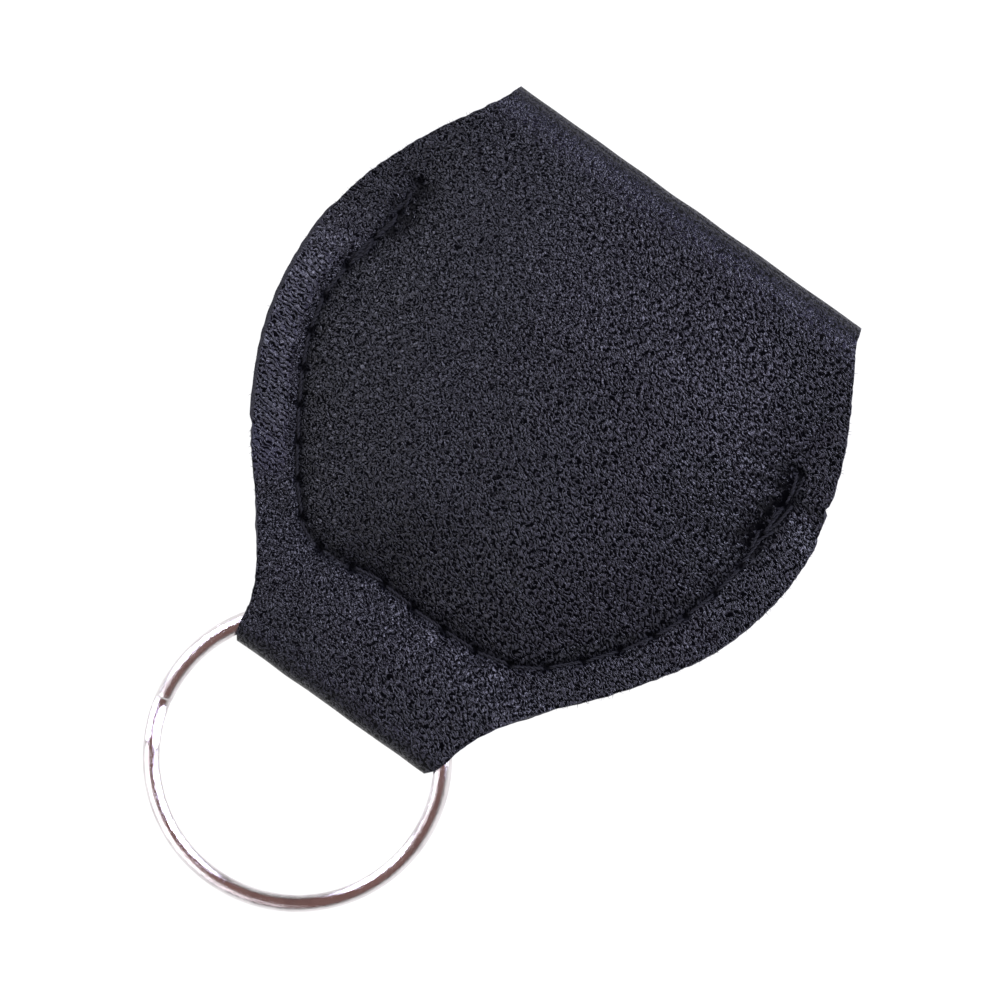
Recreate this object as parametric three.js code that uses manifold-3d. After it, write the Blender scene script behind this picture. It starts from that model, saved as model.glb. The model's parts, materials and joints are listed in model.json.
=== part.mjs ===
// Pick holder: a key-fob pouch for plectrums, lying face up on its closing flap.
//
// One blank of embossed leather makes the whole pouch. Its neck is folded round a split ring, its
// back and front lobes are sewn together along one U-shaped seam, and its top end is folded over
// the pocket's mouth as a flap. The blank is built here as five pieces, parted at its living
// hinges: back_panel, neck_loop, front_panel, top_roll and flap.
//
// Millimetres, +Z up. Inside this file y = 0 is the outer edge of the neck fold and +Y points at
// the top fold; the group shifts everything so that the origin is the middle of the outer box.

import * as THREE from 'three';
import { mergeGeometries, mergeVertices } from 'three/addons/utils/BufferGeometryUtils.js';
import Module from 'manifold-3d';

const wasm = await Module();
wasm.setup();
const { clamp, degToRad, lerp, smoothstep } = THREE.MathUtils;

// ---- Driving dimensions -------------------------------------------------------------------

const LEATHER = 0.9; // thickness of the blank
const CLEARANCE = 0.3; // between neighbouring solids
const LAYERS_MID_Z = 2.6; // plane where the front and back lobes meet

// Half-width of the pouch at heights up its length: [y, half-width].
const HALF_WIDTHS = [
  [0, 11.2], [4, 12.4], [8, 14.35], [12, 17.3], [16, 20.75], [20, 23.4], [25, 26.25],
  [30, 27.9], [36, 28.65], [42, 28.0], [47, 26.3], [53, 23.4], [57, 21.0], [59.5, 20.1],
];

const TOP_FOLD_RADIUS = 2.8; // outer radius of the rolled top fold
const FOLD_SETBACK = 0.6; // each side of the fold's two bends, so that 90 degrees closes nothing
const BODY_LENGTH = 59.5; // neck fold to top fold
const POCKET_HEIGHT = 4.3; // inside height where the front bulges most
const CROWN_RUN = 8.5; // distance over which the front rises from the seam
const CROWN_END_RUN = 4; // how far before the seam's end the crown starts to meet the roll
const MOUTH_Y = 47.3; // edge of the back lobe, the pocket's mouth
const MOUTH_CORNER_DROP = 4.3; // how far the mouth's outer corners are rounded down
const MOUTH_STRAIGHT = 20; // half-length of the straight part of the mouth

const NECK_HINGE_Y = 10.8; // where the neck bends
const NECK_SETBACK = 0.7; // each side of the bend, so that 60 degrees closes nothing
const TUNNEL_HALF_HEIGHT = 1.55; // inside of the neck loop, for the ring
const TUNNEL_TAPER_Y = 8.4; // where the loop starts to close towards the seam
const NECK_FOLD_DEPTH = 1.0; // how far in from the fold the loop reaches its full height

const FLAP_TIP_Y = 24; // end of the flap
const FLAP_HALF_WIDTH = 20.1;
const FLAP_SHOULDER_Y = 42; // where the flap's straight sides turn into its round end

const RING_OUTER_RADIUS = 15; // a 30 mm split ring
const RING_BAND = 1.65; // radial width of the wire
const COIL_HEIGHT = 1.0; // height of one turn
const WIRE_CORNER = 0.35; // bevel along the wire's four corners
const COIL_GAP = 0.1; // air between the two turns
const RING_CENTRE_Y = -5.9;
const RING_TILT = degToRad(3.4); // far side rests on the table
const RING_PIVOT_Y = 4.6; // where the tilted ring crosses LAYERS_MID_Z
const SPLIT_ANGLE = degToRad(201.4); // middle of the step between the turns
const SPLIT_HALF_STEP = degToRad(10);

// Half of the seam, from the middle of the neck to the pocket's mouth: [x, y].
const SEAM_HALF = [
  [0, 12.6], [9.3, 12.7], [13.3, 14.2], [18.5, 20.0], [22.0, 26.0], [23.8, 33.0], [23.8, 39.0],
  [23.0, 45.3],
];
const STITCHES = 28;
const THREAD_RADIUS = 0.25;
const LEG_RADIUS = 0.9 * THREAD_RADIUS; // the legs start inside the run
const HOLE_RADIUS = THREAD_RADIUS + CLEARANCE;

const BACK_TOP = LAYERS_MID_Z - CLEARANCE / 2;
const BACK_BOTTOM = BACK_TOP - LEATHER;
const RIM_BOTTOM = LAYERS_MID_Z + CLEARANCE / 2;
const RIM_TOP = RIM_BOTTOM + LEATHER;
const CROWN_RISE = BACK_TOP + POCKET_HEIGHT + LEATHER - RIM_TOP;
const TOP_FOLD_Y = BODY_LENGTH - TOP_FOLD_RADIUS; // axis of the roll
const TOP_FOLD_TOP = 2 * TOP_FOLD_RADIUS;

// ---- Fineness of the curved faces -----------------------------------------------------------

const FRONT_COLUMNS = 22;
const FRONT_ROWS = 22;
const ROLL_COLUMNS = 6;
const ROLL_ROWS = 10;
const SIDE_STEPS = 18;
const MOUTH_STEPS = 24;
const FLAP_END_STEPS = 20;
const NECK_FOLD_STEPS = 6;
const RING_STEPS = 84;
const HOLE_SIDES = 6;
const OVERCUT = 1; // how far a cutting tool runs past what it cuts

// ---- Finishes -----------------------------------------------------------------------------

const leather = () => new THREE.MeshStandardMaterial({ color: 0x1b1c22, roughness: 0.5 });
const thread = () => new THREE.MeshStandardMaterial({ color: 0x0f1014, roughness: 0.7 });
const nickel = () =>
  new THREE.MeshStandardMaterial({ color: 0xc9c4c0, roughness: 0.15, metalness: 1 });

// ---- Curves -------------------------------------------------------------------------------

/** A smooth function through [key, value] rows: Hermite pieces with the slopes of the chords. */
function smoothThrough(rows) {
  const slope = (i) => {
    const before = rows[Math.max(i - 1, 0)];
    const after = rows[Math.min(i + 1, rows.length - 1)];
    return (after[1] - before[1]) / (after[0] - before[0]);
  };
  return (key) => {
    const held = clamp(key, rows[0][0], rows.at(-1)[0]);
    const last = rows.findIndex((row) => row[0] >= held);
    const i = Math.max(last, 1);
    const [k0, v0] = rows[i - 1];
    const [k1, v1] = rows[i];
    const span = k1 - k0;
    const t = (held - k0) / span;
    const bend = (3 - 2 * t) * t * t;
    const leave = slope(i - 1) * span * t * (1 - t) * (1 - t);
    const arrive = slope(i) * span * t * t * (t - 1);
    return v0 + (v1 - v0) * bend + leave + arrive;
  };
}

const halfWidth = smoothThrough(HALF_WIDTHS);
const seamHalfWidth = smoothThrough(SEAM_HALF.slice(2).map(([x, y]) => [y, x]));

/** The whole seam, from the left end of the mouth round the neck to the right end. */
function seamCurve() {
  const right = SEAM_HALF.map(([x, y]) => new THREE.Vector3(x, y, 0));
  const left = SEAM_HALF.slice(1).reverse().map(([x, y]) => new THREE.Vector3(-x, y, 0));
  return new THREE.CatmullRomCurve3([...left, ...right], false, 'centripetal');
}

/** The pocket mouth's height at x: straight, with its outer corners rounded down. */
function mouthAt(x) {
  const reach = (Math.abs(x) - MOUTH_STRAIGHT) / (halfWidth(MOUTH_Y) - MOUTH_STRAIGHT);
  return MOUTH_Y - MOUTH_CORNER_DROP * smoothstep(reach, 0, 1);
}

// ---- Solids -------------------------------------------------------------------------------

/** A closed body through equal loops of points; each end is closed by a strip across its loop. */
function loft(loops) {
  const count = loops[0].length;
  const position = loops.flat().flatMap((p) => [p.x, p.y, p.z]);
  const index = [];
  for (let row = 0; row + 1 < loops.length; row++) {
    for (let k = 0; k < count; k++) {
      const a = row * count + k;
      const b = row * count + ((k + 1) % count);
      index.push(a, b, b + count, a, b + count, a + count);
    }
  }
  const last = (loops.length - 1) * count;
  for (let k = 0; k + 1 < count / 2; k++) {
    const far = count - 1 - k;
    index.push(k, far, far - 1, k, far - 1, k + 1);
    index.push(last + k, last + far - 1, last + far, last + k, last + k + 1, last + far - 1);
  }
  const geometry = new THREE.BufferGeometry();
  geometry.setAttribute('position', new THREE.Float32BufferAttribute(position, 3));
  geometry.setIndex(index);
  return geometry;
}

/** A geometry as a manifold-3d solid. */
function toSolid(geometry) {
  const bare = geometry.clone();
  bare.deleteAttribute('normal');
  bare.deleteAttribute('uv');
  const merged = mergeVertices(bare, 1e-5);
  const vertProperties = new Float32Array(merged.attributes.position.array);
  const triVerts = new Uint32Array(merged.index.array);
  return new wasm.Manifold(new wasm.Mesh({ numProp: 3, vertProperties, triVerts }));
}

/** A manifold-3d solid as a geometry. */
function toGeometry(solid) {
  const mesh = solid.getMesh();
  const geometry = new THREE.BufferGeometry();
  geometry.setAttribute('position', new THREE.BufferAttribute(mesh.vertProperties, 3));
  geometry.setIndex(new THREE.BufferAttribute(mesh.triVerts, 1));
  return geometry;
}

/** A flat plate of leather of the given outline, with its lower face at z. */
function plate(outline, z, thickness = LEATHER) {
  const shape = new THREE.Shape(outline);
  const geometry = new THREE.ExtrudeGeometry(shape, { depth: thickness, bevelEnabled: false });
  return geometry.translate(0, 0, z);
}

/** Equal steps from one number to another, both ends included. */
function steps(from, to, count) {
  return Array.from({ length: count + 1 }, (_, i) => from + ((to - from) * i) / count);
}

// ---- The seam's needle holes and threads ----------------------------------------------------

const HOLE_POINTS = seamCurve().getSpacedPoints(STITCHES);

/** Upright pegs of one radius at every needle hole. */
function pegs(radius, low, high) {
  const upright = new THREE.CylinderGeometry(radius, radius, high - low, HOLE_SIDES);
  upright.rotateX(Math.PI / 2);
  const copies = HOLE_POINTS.map((p) => upright.clone().translate(p.x, p.y, (low + high) / 2));
  return mergeGeometries(copies);
}

/** A panel with the needle holes through it. */
function pierced(panel, low, high) {
  const holes = toSolid(pegs(HOLE_RADIUS, low - OVERCUT, high + OVERCUT));
  return toGeometry(toSolid(panel).subtract(holes));
}

/** A thread: a run along the seam at height z, and a leg down or up every needle hole. */
function threadGeometry(z, legEnd) {
  const path = seamCurve();
  const sides = steps(0, 2 * Math.PI, HOLE_SIDES).slice(0, -1);
  const loops = steps(0, 1, 2 * STITCHES).map((t) => {
    const centre = path.getPointAt(t);
    const along = path.getTangentAt(t);
    const across = new THREE.Vector3(-along.y, along.x, 0);
    return sides.map((angle) => centre.clone()
      .addScaledVector(across, THREAD_RADIUS * Math.cos(angle))
      .setZ(z + THREAD_RADIUS * Math.sin(angle)));
  });
  const legs = toSolid(pegs(LEG_RADIUS, Math.min(z, legEnd), Math.max(z, legEnd)));
  return toGeometry(toSolid(loft(loops)).add(legs));
}

// ---- The front of the blank -----------------------------------------------------------------

/** Height of the front's outer face at a point of the pouch. */
function frontTop(x, y) {
  const seamBottom = SEAM_HALF[0][1];
  const sideRise = smoothstep(seamHalfWidth(y) - Math.abs(x), 0, CROWN_RUN);
  const endRise = smoothstep(y - seamBottom, 0, CROWN_RUN);
  const crowned = RIM_TOP + CROWN_RISE * sideRise * endRise;
  const seamEnd = SEAM_HALF.at(-1)[1];
  return lerp(crowned, TOP_FOLD_TOP, smoothstep(y, seamEnd - CROWN_END_RUN, TOP_FOLD_Y));
}

/** One cross-section of the front: its outer face from left to right, its inner face back. */
function frontLoop(y) {
  const width = halfWidth(y);
  const columns = steps(-1, 1, FRONT_COLUMNS).map((u) => u * width);
  const outer = columns.map((x) => new THREE.Vector3(x, y, frontTop(x, y)));
  const inner = columns.reverse().map((x) => new THREE.Vector3(x, y, frontTop(x, y) - LEATHER));
  return [...outer, ...inner];
}

/** One cross-section of the rolled top fold at an angle from its top. */
function rollLoop(angle) {
  const outerY = TOP_FOLD_Y + TOP_FOLD_RADIUS * Math.sin(angle);
  const width = angle < Math.PI / 2 ? halfWidth(outerY) : FLAP_HALF_WIDTH;
  const columns = steps(-1, 1, ROLL_COLUMNS).map((u) => u * width);
  const at = (x, radius) => new THREE.Vector3(
    x, TOP_FOLD_Y + radius * Math.sin(angle), TOP_FOLD_RADIUS + radius * Math.cos(angle));
  const outer = columns.map((x) => at(x, TOP_FOLD_RADIUS));
  const inner = columns.reverse().map((x) => at(x, TOP_FOLD_RADIUS - LEATHER));
  return [...outer, ...inner];
}

/** The front lobe with its crown and needle holes. */
function frontPanelGeometry() {
  const bottom = NECK_HINGE_Y + NECK_SETBACK;
  const face = steps(bottom, TOP_FOLD_Y - FOLD_SETBACK, FRONT_ROWS).map(frontLoop);
  return pierced(loft(face), RIM_BOTTOM, RIM_TOP);
}

/** The half-round roll that carries the leather from the front over to the flap. */
function topRollGeometry() {
  const start = FOLD_SETBACK / (TOP_FOLD_RADIUS - LEATHER / 2);
  return loft(steps(start, Math.PI - start, ROLL_ROWS).map(rollLoop));
}

// ---- The back, the flap and the neck ----------------------------------------------------------

/** Points down one side of the pouch's outline, from y to the neck. */
function sidePoints(from, to, sign) {
  return steps(from, to, SIDE_STEPS).map((y) => new THREE.Vector2(sign * halfWidth(y), y));
}

/** The back lobe: flat, open at the pocket's mouth, with its needle holes. */
function backPanelGeometry() {
  const bottom = NECK_HINGE_Y + NECK_SETBACK;
  const cornerY = MOUTH_Y - MOUTH_CORNER_DROP;
  const corner = halfWidth(cornerY);
  const mouth = steps(-corner, corner, MOUTH_STEPS).slice(1, -1)
    .map((x) => new THREE.Vector2(x, mouthAt(x)));
  const outline = [
    ...sidePoints(cornerY, bottom, 1), ...sidePoints(bottom, cornerY, -1), ...mouth,
  ];
  return pierced(plate(outline, BACK_BOTTOM), BACK_BOTTOM, BACK_TOP);
}

/** The flap's flat lobe: straight sides and a half-round end, lying on the table. */
function flapGeometry() {
  const root = TOP_FOLD_Y - FOLD_SETBACK;
  const end = steps(0, Math.PI, FLAP_END_STEPS).map((angle) => new THREE.Vector2(
    FLAP_HALF_WIDTH * Math.cos(angle),
    FLAP_SHOULDER_Y - (FLAP_SHOULDER_Y - FLAP_TIP_Y) * Math.sin(angle)));
  const outline = [
    new THREE.Vector2(FLAP_HALF_WIDTH, root), ...end, new THREE.Vector2(-FLAP_HALF_WIDTH, root),
  ];
  return plate(outline, 0);
}

/** Side view of the neck loop: [y, half-height] along one face, from the open end to the fold. */
function neckFace(extra, foldY, openHalf, endY) {
  const full = TUNNEL_HALF_HEIGHT + extra;
  const depth = NECK_FOLD_DEPTH + extra;
  const fold = steps(0, Math.PI / 2, NECK_FOLD_STEPS).map((angle) => [
    foldY + depth * (1 - Math.cos(angle)), full * Math.sin(angle)]);
  return [[endY, openHalf], [TUNNEL_TAPER_Y + extra / 2, full], ...fold.reverse()];
}

/** The neck: a loop of leather open towards the seam, trimmed to the pouch's outline. */
function neckLoopGeometry() {
  const endY = NECK_HINGE_Y - NECK_SETBACK;
  const outer = neckFace(LEATHER, 0, CLEARANCE / 2 + LEATHER, endY);
  const inner = neckFace(0, LEATHER, CLEARANCE / 2, endY);
  const up = ([y, half]) => new THREE.Vector2(y, LAYERS_MID_Z + half);
  const down = ([y, half]) => new THREE.Vector2(y, LAYERS_MID_Z - half);
  const profile = new THREE.Shape([
    ...outer.map(up), ...outer.slice(0, -1).reverse().map(down),
    ...inner.slice(0, -1).map(down), ...inner.slice().reverse().map(up),
  ]);
  const reach = 2 * halfWidth(endY);
  const loop = new THREE.ExtrudeGeometry(profile, { depth: reach, bevelEnabled: false });
  loop.translate(0, 0, -reach / 2);
  // The profile is drawn in (y, z) and pushed along its third axis, which becomes X.
  loop.applyMatrix4(new THREE.Matrix4().set(0, 0, 1, 0, 1, 0, 0, 0, 0, 1, 0, 0, 0, 0, 0, 1));
  const top = endY + OVERCUT;
  const sides = [...sidePoints(top, 0, 1), ...sidePoints(0, top, -1)];
  const trim = plate(sides, -OVERCUT, 2 * (LAYERS_MID_Z + OVERCUT));
  return toGeometry(toSolid(loop).intersect(toSolid(trim)));
}

// ---- The split ring -------------------------------------------------------------------------

/** Section of the wire, its corners bevelled: [out from the middle, up from the middle]. */
function wireSection() {
  const corner = WIRE_CORNER;
  const across = RING_BAND / 2;
  const tall = COIL_HEIGHT / 2;
  return [
    [across, corner - tall], [across - corner, -tall], [corner - across, -tall],
    [-across, corner - tall], [-across, tall - corner], [corner - across, tall],
    [across - corner, tall], [across, tall - corner],
  ];
}

/** Two turns of wire side by side, with one step from the lower to the upper turn. */
function splitRingGeometry() {
  const middle = RING_OUTER_RADIUS - RING_BAND / 2;
  const pitch = COIL_HEIGHT + COIL_GAP;
  const start = SPLIT_ANGLE + SPLIT_HALF_STEP;
  const stepUp = SPLIT_ANGLE + 2 * Math.PI;
  const end = SPLIT_ANGLE + 4 * Math.PI - SPLIT_HALF_STEP;
  const loops = steps(start, end, RING_STEPS).map((angle) => {
    const rise = smoothstep(angle, stepUp - SPLIT_HALF_STEP, stepUp + SPLIT_HALF_STEP) - 0.5;
    return wireSection().map(([out, up]) => new THREE.Vector3(
      (middle + out) * Math.cos(angle), (middle + out) * Math.sin(angle), pitch * rise + up));
  });
  return loft(loops);
}

// ---- Assembly -------------------------------------------------------------------------------

const ringEndY = RING_CENTRE_Y - RING_OUTER_RADIUS * Math.cos(RING_TILT);
const holder = new THREE.Group();
holder.position.y = -(BODY_LENGTH + ringEndY) / 2;

/** Adds one named piece to the holder. */
function piece(name, geometry, material) {
  const mesh = new THREE.Mesh(geometry, material);
  mesh.name = name;
  holder.add(mesh);
  return mesh;
}

piece('front_panel', frontPanelGeometry(), leather());
piece('back_panel', backPanelGeometry(), leather());
piece('top_roll', topRollGeometry(), leather());
piece('flap', flapGeometry(), leather());
piece('neck_loop', neckLoopGeometry(), leather());

const needleRun = RIM_TOP + CLEARANCE + THREAD_RADIUS;
const bobbinRun = BACK_BOTTOM - CLEARANCE - THREAD_RADIUS;
piece('needle_thread', threadGeometry(needleRun, RIM_BOTTOM), thread());
piece('bobbin_thread', threadGeometry(bobbinRun, BACK_TOP), thread());

const ring = piece('split_ring', splitRingGeometry(), nickel());
ring.rotation.x = RING_TILT;
ring.position.set(
  0, RING_CENTRE_Y, LAYERS_MID_Z + (RING_CENTRE_Y - RING_PIVOT_Y) * Math.tan(RING_TILT));

export default holder;
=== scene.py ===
"""Looks of the pick holder: embossed leather, its sewn seam and a nickel split ring.

Lengths in the classes are millimetres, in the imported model's frame but with y measured from the
outer edge of the neck fold; Frame.place turns them into the frame's metres.
"""

import json
import logging
import math
from dataclasses import dataclass, field
from enum import Enum
from typing import Any, Callable, Sequence

import bpy
import numpy as np
from mathutils import Matrix, Vector


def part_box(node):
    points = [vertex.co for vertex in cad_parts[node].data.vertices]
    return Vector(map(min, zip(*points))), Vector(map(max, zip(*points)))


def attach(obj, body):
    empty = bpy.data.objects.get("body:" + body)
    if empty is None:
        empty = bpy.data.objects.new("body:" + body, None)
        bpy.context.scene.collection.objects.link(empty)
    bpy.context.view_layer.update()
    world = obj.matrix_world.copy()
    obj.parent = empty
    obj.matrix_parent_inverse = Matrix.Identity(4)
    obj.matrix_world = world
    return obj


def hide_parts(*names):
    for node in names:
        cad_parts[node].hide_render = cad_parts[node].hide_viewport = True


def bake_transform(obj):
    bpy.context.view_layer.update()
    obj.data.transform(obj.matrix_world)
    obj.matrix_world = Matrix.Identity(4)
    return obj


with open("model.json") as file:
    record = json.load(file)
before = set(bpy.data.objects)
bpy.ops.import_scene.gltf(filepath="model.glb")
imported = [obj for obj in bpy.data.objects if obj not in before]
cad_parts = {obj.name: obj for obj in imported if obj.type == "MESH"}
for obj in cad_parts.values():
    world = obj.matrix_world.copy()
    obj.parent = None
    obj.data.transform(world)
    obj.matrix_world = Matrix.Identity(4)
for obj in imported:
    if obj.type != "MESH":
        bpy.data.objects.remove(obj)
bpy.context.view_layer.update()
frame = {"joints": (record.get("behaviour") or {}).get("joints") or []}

LOG = logging.getLogger("pick_holder")
MM = 0.001
TINY = 1e-9
Array = np.ndarray
Rows = Sequence[Sequence[float]]
Faces = list[list[int]]
Colour = tuple[float, float, float, float]


class Body(Enum):
    """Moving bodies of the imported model."""

    POUCH = "pouch"
    FOLD = "fold"
    FLAP = "flap"
    NECK = "neck"
    RING = "ring"


# ---- Numbers and curves ---------------------------------------------------------------------

SAMPLES_PER_POINT = 60  # of a curve through given points, before it is spaced evenly


def smooth_step(value: Array, low: float, high: float) -> Array:
    """Rises smoothly from 0 at low to 1 at high.

    Args:
        value: Where to evaluate the step.
        low: Start of the rise.
        high: End of the rise.

    Returns:
        The step at every value.
    """
    t = np.clip((np.asarray(value, float) - low) / (high - low), 0.0, 1.0)
    return t * t * (3.0 - 2.0 * t)


def hump(value: Array, centre: float, width: float) -> Array:
    """A bell of height 1 at centre, falling to 1/e at width from it."""
    return np.exp(-(((np.asarray(value, float) - centre) / width) ** 2))


def smooth_through(rows: Rows, column: int = 1) -> Callable[[Array], Array]:
    """A smooth function through the rows of a short table.

    Args:
        rows: Rows whose first number is the key, in rising order.
        column: Which number of each row is the value.

    Returns:
        A function of keys, held level outside the table.
    """
    keys = np.array([row[0] for row in rows], float)
    values = np.array([row[column] for row in rows], float)
    slopes = np.gradient(values, keys)

    def evaluate(key: Array) -> Array:
        """Hermite interpolation between the table's rows."""
        held = np.clip(np.asarray(key, float), keys[0], keys[-1])
        i = np.clip(np.searchsorted(keys, held) - 1, 0, len(keys) - 2)
        span = keys[i + 1] - keys[i]
        t = (held - keys[i]) / span
        rise = (3 - 2 * t) * t * t
        leave = slopes[i] * span * t * (1 - t) ** 2
        arrive = slopes[i + 1] * span * t * t * (t - 1)
        return values[i] + (values[i + 1] - values[i]) * rise + leave + arrive

    return evaluate


def curve_through(points: Array, step: float) -> Array:
    """Evenly spaced points on a smooth curve through a few given ones.

    Args:
        points: The given points, one a row.
        step: Distance between the returned points.

    Returns:
        Points along the curve, its ends included.
    """
    points = np.asarray(points, float)
    chord = np.linalg.norm(np.diff(points, axis=0), axis=1) ** 0.5
    knots = np.concatenate([[0.0], np.cumsum(chord)])
    table = np.column_stack([knots, points])
    dense = np.linspace(0.0, knots[-1], SAMPLES_PER_POINT * len(points))
    line = np.column_stack(
        [smooth_through(table, k + 1)(dense) for k in range(points.shape[1])]
    )
    return respaced(line, step)


def respaced(line: Array, step: float) -> Array:
    """The same polyline with its points evenly spaced, about step apart.

    Args:
        line: Points, one a row.
        step: Distance between the new points.

    Returns:
        The new points, both ends included.
    """
    along = lengths_along(line)
    count = max(2, int(round(along[-1] / step)) + 1)
    even = np.linspace(0.0, along[-1], count)
    return np.column_stack([np.interp(even, along, line[:, k]) for k in range(line.shape[1])])


def lengths_along(line: Array) -> Array:
    """Distance along a polyline at each of its points."""
    return np.concatenate([[0.0], np.cumsum(np.linalg.norm(np.diff(line, axis=0), axis=1))])


def unit(vectors: Array) -> Array:
    """The same vectors at length 1; a zero vector stays zero."""
    return vectors / np.maximum(np.linalg.norm(vectors, axis=-1, keepdims=True), TINY)


def headings(line: Array) -> Array:
    """Direction of a polyline at each of its points."""
    return unit(np.gradient(line, axis=0))


@dataclass(frozen=True)
class Ripple:
    """Gentle random waves over a plane, the same on every run."""

    height: float
    wavelength: float
    seed: int
    waves: int = 7

    def at(self, x: Array, y: Array) -> Array:
        """Height of the waves at points of the plane.

        Args:
            x: First coordinate.
            y: Second coordinate.

        Returns:
            Heights.
        """
        random = np.random.default_rng(self.seed)
        angles = random.uniform(0.0, 2.0 * math.pi, self.waves)
        lengths = self.wavelength * random.uniform(0.7, 1.5, self.waves)
        phases = random.uniform(0.0, 2.0 * math.pi, self.waves)
        total = np.zeros(np.broadcast(x, y).shape)
        for angle, length, phase in zip(angles, lengths, phases):
            across = np.asarray(x) * math.cos(angle) + np.asarray(y) * math.sin(angle)
            total = total + np.sin(across * 2.0 * math.pi / length + phase)
        return total * self.height / math.sqrt(self.waves)


# ---- Shader expressions ---------------------------------------------------------------------


class Space(Enum):
    """Whether a pattern lies on a flat map or fills the solid."""

    FLAT = "2D"
    SOLID = "3D"


class Sock:
    """A shader socket that can be used in arithmetic, which adds Math nodes."""

    def __init__(self, shader: "Shader", socket: bpy.types.NodeSocket) -> None:
        """Wraps one output socket of a shader's tree."""
        self.shader = shader
        self.socket = socket

    def _math(self, operation: str, *values: Any) -> "Sock":
        """Adds one Math node on the given values."""
        inputs = dict(enumerate(values))
        return self.shader.node("ShaderNodeMath", {"operation": operation}, inputs)

    def __add__(self, other: Any) -> "Sock":
        """Sum."""
        return self._math("ADD", self, other)

    __radd__ = __add__

    def __sub__(self, other: Any) -> "Sock":
        """Difference."""
        return self._math("SUBTRACT", self, other)

    def __rsub__(self, other: Any) -> "Sock":
        """Difference from a number."""
        return self._math("SUBTRACT", other, self)

    def __mul__(self, other: Any) -> "Sock":
        """Product."""
        return self._math("MULTIPLY", self, other)

    __rmul__ = __mul__

    def smooth(self, low: float, high: float) -> "Sock":
        """Rises smoothly from 0 at low to 1 at high."""
        settings = {"interpolation_type": "SMOOTHSTEP"}
        return self.shader.node(
            "ShaderNodeMapRange", settings, {"Value": self, "From Min": low, "From Max": high}
        )


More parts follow.
